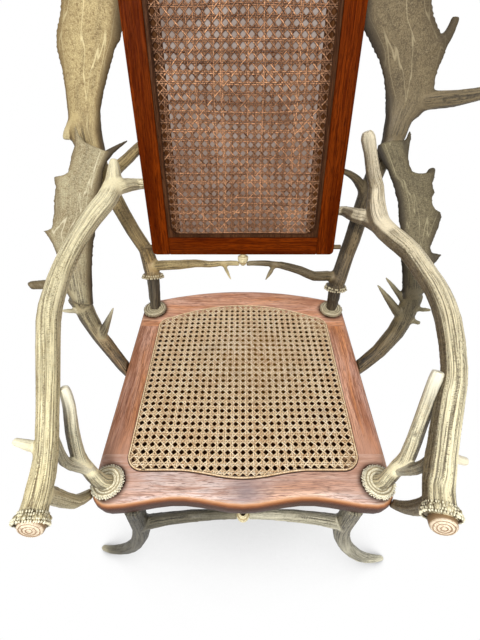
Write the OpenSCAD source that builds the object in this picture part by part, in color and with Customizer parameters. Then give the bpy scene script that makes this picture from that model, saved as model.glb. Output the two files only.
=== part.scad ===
// Armchair of shed antlers with a caned seat and a caned, leaning back.
// X points right as seen from the front, Y to the rear and Z up. Left and right in the
// pieces' names are the viewer's, looking at the front.

/* [Seat] */
// Width of the seat over its side rails
seat_w = 504; // [440:2:580]
// Depth of the seat from the middle of the front edge to the middle of the rear edge
seat_d = 523; // [460:1:600]
// Height of the seat's top face above the floor
seat_h = 440; // [400:5:480]
// Thickness of the seat rails
seat_t = 45; // [30:1:55]
// Width of the side rails
side_rail_w = 57; // [45:1:75]
// Width of the front rail at its middle
front_rail_w = 47; // [35:1:70]
// Width of the rear rail at its middle
back_rail_w = 68; // [50:1:90]
// How far the front edge dips back between the middle and the corners
front_dip = 12; // [0:1:18]
// How far the front edge of the cane bows forward at its middle
cane_front_bow = 13; // [0:1:20]
// Width of that bow
cane_bow_w = 230; // [160:5:300]
// How far the rear edge of the cane bows back at its middle
cane_rear_bow = 41; // [10:1:55]
// How far the seat's rear edge bows back at its middle
rear_bow = 36; // [15:1:50]
// Radius of the seat's front corners
front_corner = 34; // [20:1:45]
// Radius of the seat's rear corners
rear_corner = 28; // [20:1:45]
// Radius of the corners of the cane's opening
cane_corner = 24; // [12:1:36]
// Depth of the rounded nose round the seat's outer edge
nose = 13; // [5:1:20]

/* [Cane] */
// Thickness of a cane panel
cane_t = 2; // [1.5:0.5:4]
// Distance from one gap in the seat's cane to the next
seat_cane_pitch = 27; // [25:0.5:40]
// Distance from one gap in the back's cane to the next
back_cane_pitch = 28; // [25:0.5:40]
// Share of the pitch that a gap takes
gap_share = 0.6; // [0.4:0.05:0.75]
// How far the seat's cane runs out over the rails
cane_lap = 6; // [4:0.5:9]
// Width of the cane strip that covers the panel's edge
binder_w = 5; // [3:0.5:8]
// Height of that strip
binder_t = 1.6; // [1:0.2:3]

/* [Back] */
// Width of the back frame
back_w = 400; // [340:2:440]
// Length of the back frame along its slope
back_len = 640; // [560:5:700]
// Thickness of the back frame
back_t = 25; // [18:1:32]
// Width of the stiles
stile_w = 38; // [28:1:50]
// Width of the bottom and top rails
cross_rail_w = 38; // [28:1:50]
// How far the back leans, in degrees
recline = 16; // [10:0.5:22]
// Height of the back frame's lower front edge above the seat
back_gap = 150; // [135:1:175]
// How far the back frame's lower front edge lies in from the seat's rear edge
back_in = 56.5; // [40:0.5:75]
// Radius of the frame's outer corners
corner_r = 9; // [3:1:20]
// Width of the beading round the panel
beading_w = 8; // [5:0.5:14]
// Thickness of the board under the lining
lining_t = 4; // [3:0.5:6]

/* [Discs and buttons] */
// Radius of the burr discs on the seat's corners
disc_r = 26; // [18:1:32]
// Height of the burr discs
disc_t = 9; // [6:1:14]
// Radius of the pearls round a disc
disc_pearl = 3.2; // [2:0.2:4.5]
// Pearls round each disc
disc_pearls = 20; // [14:1:24]
// Radius of the turned buttons
button_r = 12; // [8:1:16]
// Length of the turned buttons
button_len = 30; // [20:1:40]
// Radius of the screws that hold the discs
screw_r = 2.5; // [2:0.25:3.5]
// Radius of the pegs between the posts and the back frame
peg_r = 5; // [3:0.5:8]

/* [Antlers] */
// Share of the radius that the long grooves go in
groove = 0.08; // [0:0.01:0.14]
// Height of the burr round an antler's root
burr_t = 9; // [6:1:14]
// How far the burr stands out from the beam
burr_out = 6; // [3:0.5:10]
// Pearls round each burr
burr_pearls = 10; // [8:1:16]
// Half the thickness of a palm at its middle
palm_t = 7; // [4:0.5:10]

/* [Fit] */
// Clearance where one piece seats against another
fit = 0.2; // [0.1:0.05:0.3]

/* [Hidden] */

// The footprint's middle, measured from the middle of the seat
centre = [36.4, 51.2];

// Places that several pieces share
half_w = seat_w / 2;
under = seat_h - seat_t;
front_y = -seat_d / 2;
rear_y = seat_d / 2;
front_disc = [half_w - 29, front_y + 37, seat_h];
rear_disc = [half_w - 33, rear_y - 78, seat_h];
cane_x = half_w - side_rail_w;
cane_front = front_y + front_rail_w + cane_front_bow;
cane_rear = rear_y - back_rail_w - cane_rear_bow;
side_front = cane_front + cane_corner;
side_rear = cane_rear - cane_corner;
back_y = rear_y - back_in;
back_z = seat_h + back_gap;
arc_steps = 5;
edge_steps = 18;

// Points and vectors
function xyz(p) = [p.x, p.y, p.z];
function unit(v) = v / norm(v);
function mix(a, b, t) = a + (b - a) * t;
// A place on the back frame: x across, s up the slope and d in from the front face
function on_back(x, s, d) = [x, back_y + s * sin(recline) + d * cos(recline),
    back_z + s * cos(recline) - d * sin(recline)];

// A smooth curve through hand-chosen points [x, y, z, half width, half thickness]
function curve(a, b, c, d, t) = 0.5 * (2 * b + (c - a) * t + (2 * a - 5 * b + 4 * c - d) * t * t
    + (3 * b - a - 3 * c + d) * t * t * t);
function five(p) = len(p) == 5 ? p : [p[0], p[1], p[2], p[3], p[3]];
function route(raw, steps) = let(p = [for (q = raw) five(q)], last = len(p) - 1)
    [for (i = [0:last - 1], k = [0:steps - 1])
        curve(p[max(i - 1, 0)], p[i], p[i + 1], p[min(i + 2, last)], k / steps), p[last]];
// Points moved by an anchor
function from(anchor, points) = [for (p = points)
    concat([p[0] + anchor.x, p[1] + anchor.y, p[2] + anchor.z], [for (k = [3:len(p) - 1]) p[k]])];
// Points given beside the back frame: x out from the stile, s up the slope, d behind its front face
function beside_back(points) = [for (p = points)
    concat(on_back(back_w / 2 + p[0], p[1], p[2]), [for (k = [3:len(p) - 1]) p[k]])];

// A solid through n rings of points, each with the same number of sides
module skinned(rings, n, sides) {
    function at(i, k) = i * sides + k % sides;
    polyhedron(points = rings, faces = concat(
        [[for (k = [sides - 1:-1:0]) at(0, k)], [for (k = [0:sides - 1]) at(n - 1, k)]],
        [for (i = [0:n - 2], k = [0:sides - 1]) [at(i, k), at(i, k + 1), at(i + 1, k + 1)]],
        [for (i = [0:n - 2], k = [0:sides - 1]) [at(i, k), at(i + 1, k + 1), at(i + 1, k)]]));
}

// A grooved, tapering length of antler along a route, with its thin direction near facing
module limb(points, facing, sides = 12, steps = 1, grooves = groove) {
    p = route(points, steps);
    n = len(p);
    rings = [for (i = [0:n - 1])
        let(t = unit(xyz(p[min(i + 1, n - 1)]) - xyz(p[max(i - 1, 0)])),
            f = unit(facing - (facing * t) * t),
            w = cross(t, f))
        for (k = [0:sides - 1])
            let(a = 360 * k / sides, g = 1 - grooves * (k % 2))
            xyz(p[i]) + g * (p[i][3] * cos(a) * w + p[i][4] * sin(a) * f)];
    skinned(rings, n, sides);
}

// A tine: a short limb that runs from a thick root to a blunt point
module tine(points, facing) {
    limb(points, facing, sides = 6, steps = 2, grooves = 0);
}

// A place on a palm's plane: a up its length and b out across it
function on_palm(plane, a, b) = let(u = unit(plane[1] - plane[0]),
    f = unit(plane[2] - (plane[2] * u) * u))
    plane[0] + a * u + b * cross(u, f);

// A palm: a plate in rows [up, inner edge, outer edge, half thickness], each square to its length.
// Its plane is a place, a second place further up and the direction that it faces.
module palm(plane, rows, sides = 10) {
    u = unit(plane[1] - plane[0]);
    f = unit(plane[2] - (plane[2] * u) * u);
    rings = [for (r = rows, k = [0:sides - 1])
        let(a = 360 * k / sides)
        on_palm(plane, r[0], (r[1] + r[2]) / 2 + (r[2] - r[1]) / 2 * cos(a)) + r[3] * sin(a) * f];
    skinned(rings, len(rows), sides);
}

// A point of a palm: a tine through places [up, out, half width, half thickness] on its plane
module palm_tine(plane, points) {
    tine([for (p = points) concat(on_palm(plane, p[0], p[1]), [p[2], p[3]])], plane[2]);
}

// Turns Z to an axis and moves to a place
module along(place, axis) {
    u = unit(axis);
    side = unit(cross(abs(u.x) < 0.9 ? [1, 0, 0] : [0, 1, 0], u));
    up = cross(u, side);
    multmatrix([[side.x, up.x, u.x, place.x], [side.y, up.y, u.y, place.y],
        [side.z, up.z, u.z, place.z], [0, 0, 0, 1]]) children();
}

// The burr at an antler's root: a low collar set round with pearls
module burr(place, axis, r) {
    along(place, axis) {
        cylinder(h = burr_t, r = r + burr_out / 2, $fn = 12);
        for (k = [0:burr_pearls - 1])
            rotate(360 * (k + (k % 3) / 6) / burr_pearls)
                translate([r + burr_out / 2, 0, 0]) pearl(1 + (k * 5 % 4) / 8);
    }
}

module pearl(size) {
    wide = burr_out * 0.6 * size;
    hull() {
        translate([-wide, 0, burr_t * 0.1]) cylinder(h = burr_t * 0.8, r = wide * 0.9, $fn = 5);
        translate([-wide * 0.2, 0, burr_t * 0.3]) cylinder(h = burr_t * 0.4, r = wide, $fn = 5);
    }
}

module side(s) {
    if (s < 0) mirror([1, 0, 0]) children();
    else children();
}

module placed() {
    translate([-centre.x, -centre.y, 0]) children();
}

// Seat frame

// A quarter of an arc from one angle to another round a centre
function arc(cx, cy, r, a0, a1) = [for (i = [0:arc_steps]) let(a = mix(a0, a1, i / arc_steps))
    [cx + r * cos(a), cy + r * sin(a)]];
// Evenly spaced places across the seat, without the two ends
function across(x_end) = [for (i = [1:edge_steps - 1]) mix(-x_end, x_end, i / edge_steps)];
function reversed(points) = [for (i = [len(points) - 1:-1:0]) points[i]];
function mirrored(points) = [for (p = reversed(points)) [-p.x, p.y]];

// The serpentine front edge: forward at the middle and at the corners
function front_edge(x) = front_y + front_dip * pow(sin(min(180, 180 * abs(x) / (half_w - front_corner))), 2);
// The rear edge, bowed back at its middle
function rear_edge(x) = rear_y - rear_bow * pow(x / (half_w - rear_corner), 2);
// The edges of the cane's opening: a short bow at the front and a long one at the rear
function cane_front_edge(x) = let(turn = min(180, 360 * abs(x) / cane_bow_w))
    cane_front - cane_front_bow * (1 + cos(turn)) / 2;
function cane_rear_edge(x) = cane_rear + cane_rear_bow * (1 - pow(x / (cane_x - cane_corner), 2));

function front_outer() = let(x = half_w - front_corner,
    left = arc(-x, front_y + front_corner, front_corner, 180, 270))
    concat([[-half_w, side_front]], [for (i = [1:arc_steps]) left[i]],
        [for (v = across(x)) [v, front_edge(v)]],
        mirrored([for (i = [1:arc_steps]) left[i]]), [[half_w, side_front]]);
function rear_outer() = let(x = half_w - rear_corner,
    left = arc(-x, rear_y - rear_bow - rear_corner, rear_corner, 180, 90))
    concat([[-half_w, side_rear]], [for (i = [1:arc_steps]) left[i]],
        [for (v = across(x)) [v, rear_edge(v)]],
        mirrored([for (i = [1:arc_steps]) left[i]]), [[half_w, side_rear]]);
function front_inner(grow = 0) = let(x = cane_x - cane_corner,
    left = arc(-x, side_front, cane_corner + grow, 180, 270))
    concat(left, [for (v = across(x)) [v, cane_front_edge(v) - grow]], mirrored(left));
function rear_inner(grow = 0) = let(x = cane_x - cane_corner,
    left = arc(-x, side_rear, cane_corner + grow, 180, 90))
    concat(left, [for (v = across(x)) [v, cane_rear_edge(v) + grow]], mirrored(left));
// The cane's opening as one outline, grown or shrunk all round
function opening(grow) = concat(front_inner(grow), reversed(rear_inner(grow)));

// A rail between an inner and an outer edge, with a rounded nose on its outer side
module rail(inner, outer) {
    n = len(inner);
    nose_steps = 6;
    m = nose_steps + 3;
    pts = [for (i = [0:n - 1])
        let(a = inner[i], b = outer[i], u = unit(b - a), len_u = norm(b - a))
        for (k = [0:m - 1])
            let(t = -90 + 180 * (k - 1) / nose_steps,
                s = k == 0 || k == m - 1 ? 0 : len_u - nose * (1 - cos(t)),
                z = k == 0 ? 0 : (k == m - 1 ? seat_t : seat_t / 2 * (1 + sin(t))))
            [a.x + u.x * s, a.y + u.y * s, under + z]];
    function at(i, k) = i * m + k % m;
    polyhedron(points = pts, faces = concat(
        [[for (k = [0:m - 1]) at(0, k)], [for (k = [m - 1:-1:0]) at(n - 1, k)]],
        [for (i = [0:n - 2], k = [0:m - 1]) [at(i, k), at(i + 1, k), at(i + 1, k + 1)]],
        [for (i = [0:n - 2], k = [0:m - 1]) [at(i, k), at(i + 1, k + 1), at(i, k + 1)]]));
}

// Bores for the screws that come up through a rail into the discs
module screw_bores(disc) {
    for (s = [-1, 1])
        translate([s * disc.x, disc.y, under - 1]) cylinder(h = seat_t + 2, r = screw_r + fit, $fn = 24);
}

module seat_rail_front() {
    color("#96552f") difference() {
        rail(front_inner(), front_outer());
        screw_bores(front_disc);
    }
}

module seat_rail_back() {
    color("#96552f") difference() {
        rail(rear_inner(), rear_outer());
        screw_bores(rear_disc);
    }
}

module seat_rail_side(s) {
    y = [for (i = [0:4]) mix(s < 0 ? side_rear : side_front, s < 0 ? side_front : side_rear, i / 4)];
    color("#9a5833") rail([for (v = y) [s * cane_x, v]], [for (v = y) [s * half_w, v]]);
}

// Glued blocks in the seat's inner corners
module corner_blocks() {
    block = 46;
    color("#a87a4c") translate([0, 0, under + 4]) linear_extrude(seat_t - 12) intersection() {
        polygon(opening(-fit));
        union() for (sx = [-1, 1], sy = [0, 1])
            translate([sx * cane_x, sy ? cane_rear : cane_front])
                rotate(sx > 0 ? (sy ? 225 : 135) : (sy ? -45 : 45)) translate([block * 0.2, 0])
                    square([block, block * 2.4], center = true);
    }
}

// An eight-sided gap for every crossing of a net that lies inside a rectangle
module gaps(x_end, y_low, y_high, pitch) {
    nx = floor((2 * x_end - pitch) / pitch);
    ny = floor((y_high - y_low - pitch) / pitch);
    for (i = [0:nx], j = [0:ny])
        translate([(i - nx / 2) * pitch, (y_low + y_high) / 2 + (j - ny / 2) * pitch])
            circle(r = pitch * gap_share / 2, $fn = 8);
}

module seat_cane() {
    color("#c9ab77") translate([0, 0, seat_h]) linear_extrude(cane_t) difference() {
        polygon(opening(cane_lap));
        gaps(cane_x, cane_front, cane_rear + cane_rear_bow * 0.4, seat_cane_pitch);
    }
}

module seat_cane_binder() {
    color("#b8965f") translate([0, 0, seat_h + cane_t]) linear_extrude(binder_t) difference() {
        polygon(opening(cane_lap));
        polygon(opening(cane_lap - binder_w));
    }
}

// Back frame, drawn in its own plane: x across, y up the slope, z in from the front face

module on_slope() {
    translate([0, back_y, back_z]) rotate([-recline, 0, 0]) rotate([90, 0, 0]) mirror([0, 0, 1]) children();
}

panel_x = back_w / 2 - stile_w;
rebate = 7;
panel_front = 9;

module stile(s) {
    a = back_w / 2;
    color("#7d3a19") on_slope() difference() {
        linear_extrude(back_t) polygon(concat(
            [[s * panel_x, 0]],
            [for (i = [0:arc_steps]) let(t = 90 * i / arc_steps)
                [s * (a - corner_r * (1 - sin(t))), corner_r * (1 - cos(t))]],
            [for (i = [0:arc_steps]) let(t = 90 * i / arc_steps)
                [s * (a - corner_r * (1 - cos(t))), back_len - corner_r * (1 - sin(t))]],
            [[s * panel_x, back_len]]));
        translate([s * (panel_x + rebate / 2), back_len / 2, panel_front + back_t / 2])
            cube([rebate + 0.02, back_len - 2 * cross_rail_w + 2 * rebate, back_t], center = true);
    }
}

module cross_rail(y0) {
    top = y0 > 0;
    color("#7d3a19") on_slope() difference() {
        translate([-panel_x, y0, 0]) cube([2 * panel_x, cross_rail_w, back_t]);
        translate([-panel_x - 1, top ? y0 - 0.01 : y0 + cross_rail_w - rebate + 0.01, panel_front])
            cube([2 * panel_x + 2, rebate, back_t]);
    }
}

// A sheet that fills the rebate behind the frame
module rebate_sheet(z0, t, margin) {
    translate([-panel_x - rebate + margin, cross_rail_w - rebate + margin, z0])
        cube([2 * (panel_x + rebate - margin), back_len - 2 * (cross_rail_w - rebate + margin), t]);
}

module back_cane() {
    w = panel_x + rebate - fit;
    h = back_len - 2 * (cross_rail_w - rebate + fit);
    color("#a87f52") on_slope() translate([0, cross_rail_w - rebate + fit, panel_front])
        linear_extrude(cane_t) difference() {
            translate([-w, 0]) square([2 * w, h]);
            gaps(panel_x - beading_w, beading_w + rebate, h - beading_w - rebate, back_cane_pitch);
        }
}

module back_lining() {
    color("#96827d") on_slope() rebate_sheet(panel_front + cane_t, lining_t, fit);
}

// Small flat sprigs behind the lining board, with their ends against the stiles
module lining_sprigs() {
    count = 6;
    sprig = [14, 4, 1.2];
    color("#55504a") on_slope() for (s = [-1, 1], i = [0:count - 1])
        translate([s * (panel_x + rebate - sprig.x / 2), mix(0.12, 0.88, i / (count - 1)) * back_len,
            panel_front + cane_t + lining_t + sprig.z / 2]) cube(sprig, center = true);
}

// A moulded strip round the opening, with rounded inner corners
module ring(out_margin, width, inner_r) {
    w = 2 * (panel_x - out_margin);
    h = back_len - 2 * (cross_rail_w + out_margin);
    difference() {
        translate([-w / 2, cross_rail_w + out_margin]) square([w, h]);
        translate([0, back_len / 2]) rounded(w - 2 * width, h - 2 * width, inner_r);
    }
}

module rounded(w, h, r) {
    polygon([for (q = [0:3], i = [0:arc_steps]) let(a = 90 * q + 90 * i / arc_steps,
        sx = q == 0 || q == 3 ? 1 : -1, sy = q < 2 ? 1 : -1)
        [sx * (w / 2 - r) + r * cos(a), sy * (h / 2 - r) + r * sin(a)]]);
}

module back_beading() {
    bead = 3;
    color("#8a4a24") on_slope() union() {
        translate([0, 0, bead]) linear_extrude(panel_front - bead) ring(0, beading_w, 18);
        translate([0, 0, 1]) linear_extrude(bead - 1) ring(1.5, beading_w - 3, 18);
    }
}

// Discs: slices of burr with a rim of pearls, a hollowed top face and a blind bore for the screw

module disc(s, place) {
    bore_depth = disc_t * 0.6;
    color("#c9b98a") translate([s * place.x, place.y, place.z]) difference() {
        union() {
            rotate_extrude($fn = 40) polygon([[0, 0], [disc_r - 2, 0], [disc_r, 2],
                [disc_r - 0.5, disc_t - 1.5], [disc_r - 4, disc_t], [disc_r - 6, disc_t],
                [disc_r - 8, disc_t - 1.2], [0, disc_t - 1.2]]);
            for (k = [0:disc_pearls - 1])
                rotate(360 * (k + 0.5) / disc_pearls)
                    translate([disc_r - 0.8, 0, disc_t * (0.5 + 0.1 * (k % 2))])
                        sphere(r = disc_pearl, $fn = 20);
        }
        translate([0, 0, -1]) cylinder(h = bore_depth + 1, r = screw_r + fit, $fn = 24);
    }
}

module disc_screws() {
    color("#6b655c") for (place = [front_disc, rear_disc], s = [-1, 1])
        translate([s * place.x, place.y, under - 3]) union() {
            cylinder(h = 3, r = screw_r * 2, $fn = 24);
            cylinder(h = seat_t + 3 + disc_t * 0.55, r = screw_r, $fn = 24);
        }
}

// Antlers. Each route is drawn for the right-hand side, with x outward, and turned over for the left.

// What an antler is cut to: the seat's own outline, the back frame and the floor
module seat_space() {
    translate([0, 0, under - fit]) linear_extrude(seat_t + 2 * fit)
        polygon(concat(front_outer(), reversed(rear_outer())));
}

module back_space() {
    on_slope() translate([-back_w / 2 - fit, -fit, -fit])
        cube([back_w + 2 * fit, back_len + 2 * fit, back_t + 2 * fit]);
}

module below(z) {
    translate([-1000, -1000, z - 400]) cube([2000, 2000, 400]);
}

module above(z) {
    translate([-1000, -1000, z]) cube([2000, 2000, 400]);
}

front_root = [half_w, front_disc.y, seat_h];
rear_root = [half_w, rear_disc.y, seat_h];
mid_root = [half_w, 0, seat_h];
inward = [-1, 0, 0];
forward = [0, -1, 0];

// Arms: grooved antlers with the burr to the front

arm_right = concat(
    from(front_root, [[-8, -90, 112, 13, 13], [-4, -76, 113, 19, 19], [0, -57, 115, 20, 20],
        [8, -31, 122, 20, 20], [16, 7, 155, 19, 19], [32, 52, 182, 18, 18], [42, 85, 203, 17, 17],
        [54, 156, 225, 18, 18], [57, 211, 233, 18, 18]]),
    from(rear_root, [[52, -164, 238, 18, 18], [42, -103, 244, 19, 19], [25, -66, 248, 20, 20],
        [8, -26, 254, 20, 20], [3, 8, 276, 18, 18], [1, 26, 302, 15, 15], [-12, 29, 330, 13, 13],
        [-24, 33, 362, 12, 12], [-33, 37, 384, 13, 13], [-37, 39, 394, 8, 8]]));
arm_left = concat(
    from(front_root, [[10, -98, 110, 11, 11], [11, -84, 111, 17, 17], [12, -64, 114, 17, 17],
        [10, -50, 122, 17, 17], [1, -17, 155, 15, 15], [3, 21, 182, 14, 14], [10, 62, 203, 15, 15],
        [35, 151, 228, 17, 17], [42, 197, 237, 17, 17]]),
    from(rear_root, [[45, -158, 246, 17, 17], [40, -100, 258, 17, 17], [23, -47, 276, 18, 18],
        [2, -6, 292, 19, 19],
        [-5, 30, 304, 18, 18], [-7, 42, 320, 14, 14], [-9, 50, 334, 10, 10], [-10, 54, 343, 6, 6]]));
arm_right_fork = concat(
    from(rear_root, [[18, -50, 250, 19], [6, -18, 251, 19], [-8, 4, 250, 17], [-26, 16, 248, 15]]),
    beside_back([[14, 92, 12, 11], [-6, 92, 12, 9]]));
arm_left_fork = concat(
    from(rear_root, [[4, 12, 298, 18], [-18, 34, 300, 15]]),
    beside_back([[18, 145, 14, 12], [-6, 146, 14, 10]]));
arm_right_brow = from(front_root, [[4, -48, 114, 15], [5, -54, 84, 13], [2, -47, 34, 12], [-4, -33, -6, 9],
    [-12, -22, -22, 7]]);
arm_left_brow = from(front_root, [[9, -50, 112, 14], [9, -45, 80, 12], [2, -38, 32, 11], [2, -16, -10, 9],
    [-6, -6, -22, 7]]);
arm_right_stub = from(front_root, [[22, -10, 138, 10], [36, -14, 132, 7], [48, -16, 130, 6]]);
arm_left_stub = from(front_root, [[6, -10, 158, 10], [22, -8, 162, 8], [43, -4, 166, 5]]);

module arm(s) {
    beam = s < 0 ? arm_left : arm_right;
    root = xyz(beam[1]);
    axis = xyz(beam[2]) - root;
    color("#b0a27c") side(s) difference() {
        union() {
            limb(beam, inward, steps = 2);
            burr(root, axis, beam[1][3]);
            tine(s < 0 ? arm_left_fork : arm_right_fork, [0, 0, 1]);
            tine(s < 0 ? arm_left_brow : arm_right_brow, forward);
            tine(s < 0 ? arm_left_stub : arm_right_stub, [0, 0, 1]);
        }
        seat_space();
        back_space();
    }
}

// The arm's beam with its clearance, for the supports that are coped to it
module arm_seat(s) {
    side(s) limb([for (p = s < 0 ? arm_left : arm_right) [p[0], p[1], p[2], p[3] + fit, p[4] + fit]], inward,
        steps = 2);
}

// Arm supports: a forked tine from each front disc up to the arm

support_right = from(front_root, [[-29, 0, 4, 12], [-26, -6, 28, 12], [-14, 4, 58, 12], [-5, 10, 80, 12],
    [4, 36, 128, 11], [11, 56, 164, 11], [15, 72, 194, 10], [17, 78, 204, 8]]);
support_left = from(front_root, [[-29, 0, 4, 12], [-24, -6, 28, 12], [-13, 2, 58, 11], [-6, 10, 84, 11],
    [-7, 28, 128, 10], [-9, 47, 163, 9], [-8, 57, 184, 8], [-7, 60, 192, 6]]);
branch_right = from(front_root, [[-17, 2, 52, 10], [-6, -6, 74, 9], [4, -10, 100, 9], [12, -4, 132, 8],
    [14, 10, 150, 7]]);
branch_left = from(front_root, [[-17, 2, 52, 10], [-6, -2, 76, 9], [3, -4, 100, 8], [6, 6, 128, 7],
    [6, 14, 150, 6]]);

module arm_support(s) {
    color("#bdb08a") difference() {
        side(s) union() {
            limb(s < 0 ? support_left : support_right, inward, sides = 10, steps = 2);
            tine(s < 0 ? branch_left : branch_right, inward);
            knuckles(s < 0 ? support_left : support_right, 13);
        }
        arm_seat(s);
        below(seat_h + disc_t - 1.2);
    }
}

// A few pearls where a tine leaves its root
module knuckles(points, r) {
    p = route(points, 2);
    for (k = [0:7])
        translate(xyz(p[2 + floor(k / 3)]))
            rotate([0, 0, 47 + k * 134]) translate([r * 0.55, 0, 0]) pearl(0.8);
}

// Back posts: a dark stub on each rear disc, and on it a palmed antler that carries the back

post_start = [[-33, 7, 63], [-35, 37, 73]];
function post_foot(s) = rear_root + (s < 0 ? post_start[1] : post_start[0]);
function post_axis(s) = s < 0 ? [0, 0.46, 0.89] : [0.02, 0.3, 0.95];

post_right = concat(
    from(post_foot(1), [[0, 0, 0, 17, 17], [3, 6, 20, 20, 20], [13, 25, 52, 19, 19]]),
    beside_back([[40, -8, 31, 19, 19], [46, 25, 28, 19, 19], [51, 60, 27, 19, 19], [60, 122, 27, 19, 19],
        [76, 176, 34, 20, 19], [92, 204, 38, 22, 17], [97, 216, 40, 22, 16]]));
post_left = concat(
    from(post_foot(-1), [[0, 0, 0, 17, 17], [2, 10, 20, 20, 20], [6, 20, 40, 19, 19]]),
    beside_back([[25, 2, 35, 17, 17], [45, 46, 30, 17, 17], [60, 84, 28, 17, 17], [74, 120, 28, 18, 18],
        [88, 155, 31, 21, 18], [100, 182, 36, 25, 18], [106, 198, 40, 29, 17]]));
post_right_trez = beside_back([[58, 120, 26, 14], [44, 142, 24, 11], [26, 158, 20, 8], [8, 167, 17, 6],
    [-6, 171, 16, 5]]);
post_left_trez = beside_back([[84, 150, 28, 13], [54, 174, 24, 12], [28, 192, 20, 11], [6, 209, 17, 10],
    [-6, 216, 16, 10]]);
// The brow tines run in under the back and meet at the button
post_right_brow = concat(from(post_foot(1), [[-4, 8, 26, 14], [-20, 12, 30, 13], [-58, -4, 42, 12]]),
    from([0, back_y, seat_h], [[130, -12, 116, 11], [86, 0, 122, 9], [45, 2, 126, 7], [8, 4, 124, 6]]));
post_left_brow = concat(from(post_foot(-1), [[-4, 8, 26, 14], [-20, 6, 32, 13], [-70, -10, 46, 12]]),
    from([0, back_y, seat_h], [[108, 4, 124, 10], [76, 3, 122, 8], [43, 2, 126, 7], [8, 4, 124, 6]]));
post_right_prong = from([0, back_y, seat_h], [[72, 1, 124, 7], [62, -6, 104, 5], [52, -12, 88, 2]]);
post_left_prong = from([0, back_y, seat_h], [[44, 1, 125, 6], [36, -5, 106, 4], [28, -11, 88, 2]]);
// The posts' palms lie beside the back frame and behind it. Their rows run up from the beam, and each
// point has its root in the palm.
post_plane = [on_back(back_w / 2, 0, 40), on_back(back_w / 2, 1, 40), forward];
post_right_rows = [[204, 72, 112, 17], [224, 76, 122, 16], [244, 75, 126, 15], [256, 75, 130, 14],
    [264, 74, 141, 13], [274, 71, 152, 12], [290, 68, 160, 10], [305, 64, 159, 9], [322, 58, 156, 8],
    [336, 51, 157, palm_t], [350, 43, 161, palm_t], [365, 30, 163, palm_t], [378, 20, 160, palm_t],
    [392, 7, 144, palm_t], [405, 1, 133, palm_t], [418, -4, 125, palm_t], [431, -8, 119, palm_t],
    [462, -12, 114, palm_t], [482, -13, 122, palm_t], [500, -12, 132, palm_t], [512, -10, 118, palm_t],
    [538, -4, 116, 6], [562, 6, 126, 6], [582, 16, 134, 6], [592, 24, 118, 6], [614, 38, 116, 5],
    [638, 66, 118, 4], [652, 90, 114, 3]];
post_left_rows = [[188, 77, 130, 17], [211, 77, 138, 17], [224, 78, 143, 16], [241, 77, 143, 15],
    [258, 75, 140, 13], [274, 72, 137, 11], [290, 65, 135, 10], [306, 58, 133, 9],
    [321, 50, 132, 8], [336, 42, 131, palm_t],
    [350, 34, 132, palm_t], [365, 26, 133, palm_t], [380, 13, 130, palm_t], [392, 8, 126, palm_t],
    [408, 5, 117, palm_t], [420, 3, 111, palm_t], [432, 0, 108, palm_t], [456, -3, 104, palm_t],
    [478, -5, 112, palm_t], [496, -4, 122, palm_t], [506, -2, 108, palm_t], [534, 4, 104, 6],
    [556, 12, 114, 6], [572, 18, 118, 6], [582, 24, 104, 6], [608, 44, 100, 5], [630, 66, 98, 3]];
post_right_points = [
    [[284, 100, 24, 8], [288, 142, 19, 10], [291, 174, 17, 12], [293, 202, 15, 12], [297, 229, 13, 12],
        [301, 252, 11, 11], [306, 286, 4, 4]],
    [[344, 124, 28, 6], [374, 151, 14, 7], [391, 161, 9, 7], [409, 165, 7, 6]]];
post_left_points = [
    [[262, 118, 18, 10], [244, 138, 11, 10], [232, 148, 9, 9], [224, 150, 8, 8]]];

// The room that a post's beam and palm take, which the side antlers are coped to
module post_space(s) {
    rows = s < 0 ? post_left_rows : post_right_rows;
    limb([for (p = s < 0 ? post_left : post_right) [p[0], p[1], p[2], p[3] + fit, p[4] + fit]], forward);
    palm(post_plane, [for (r = rows) [r[0], r[1] - fit, r[2] + fit, r[3] + fit]]);
}

module post_antler(s) {
    color(s < 0 ? "#a89970" : "#8f8162") difference() {
        side(s) difference() {
            union() {
                limb(s < 0 ? post_left : post_right, forward);
                burr(post_foot(s), post_axis(s), 20);
                tine(s < 0 ? post_left_trez : post_right_trez, forward);
                tine(s < 0 ? post_left_brow : post_right_brow, forward);
                tine(s < 0 ? post_left_prong : post_right_prong, forward);
                palm(post_plane, s < 0 ? post_left_rows : post_right_rows);
                for (p = s < 0 ? post_left_points : post_right_points) palm_tine(post_plane, p);
            }
            along(post_foot(s), post_axis(s)) translate([0, 0, -60]) cylinder(h = 60, r = 60, $fn = 8);
            on_slope() peg_hole();
        }
        back_space();
        arm_seat(s);
        back_button_at() turned_button(fit);
    }
}

module post_stub(s) {
    foot = post_foot(s);
    u = unit(post_axis(s));
    color("#4a4334") side(s) difference() {
        limb([concat(rear_disc, [12]), concat(mix(rear_disc, foot - u * 24, 0.4), [14]),
            concat(foot - u * 24, [15]), concat(foot, [16]), concat(foot + u * 12, [16])],
            forward, grooves = 2 * groove);
        below(seat_h + disc_t - 1.2);
        along(foot - u * fit, u) cylinder(h = 60, r = 60, $fn = 8);
    }
}

// Pegs between the posts and the stiles
peg_up = 14;
peg_len = 17;

module peg_place() {
    translate([back_w / 2 + fit, peg_up, back_t / 2]) rotate([0, 90, 0]) children();
}

module peg_hole() {
    peg_place() cylinder(h = peg_len + 1 + fit, r = peg_r + fit, $fn = 12);
}

module back_pegs() {
    color("#8a7350") for (s = [-1, 1])
        side(s) on_slope() peg_place() cylinder(h = peg_len, r = peg_r, $fn = 24);
}

// Side antlers: palmed antlers outside the arms, sawn off against the seat's side rails

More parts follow.
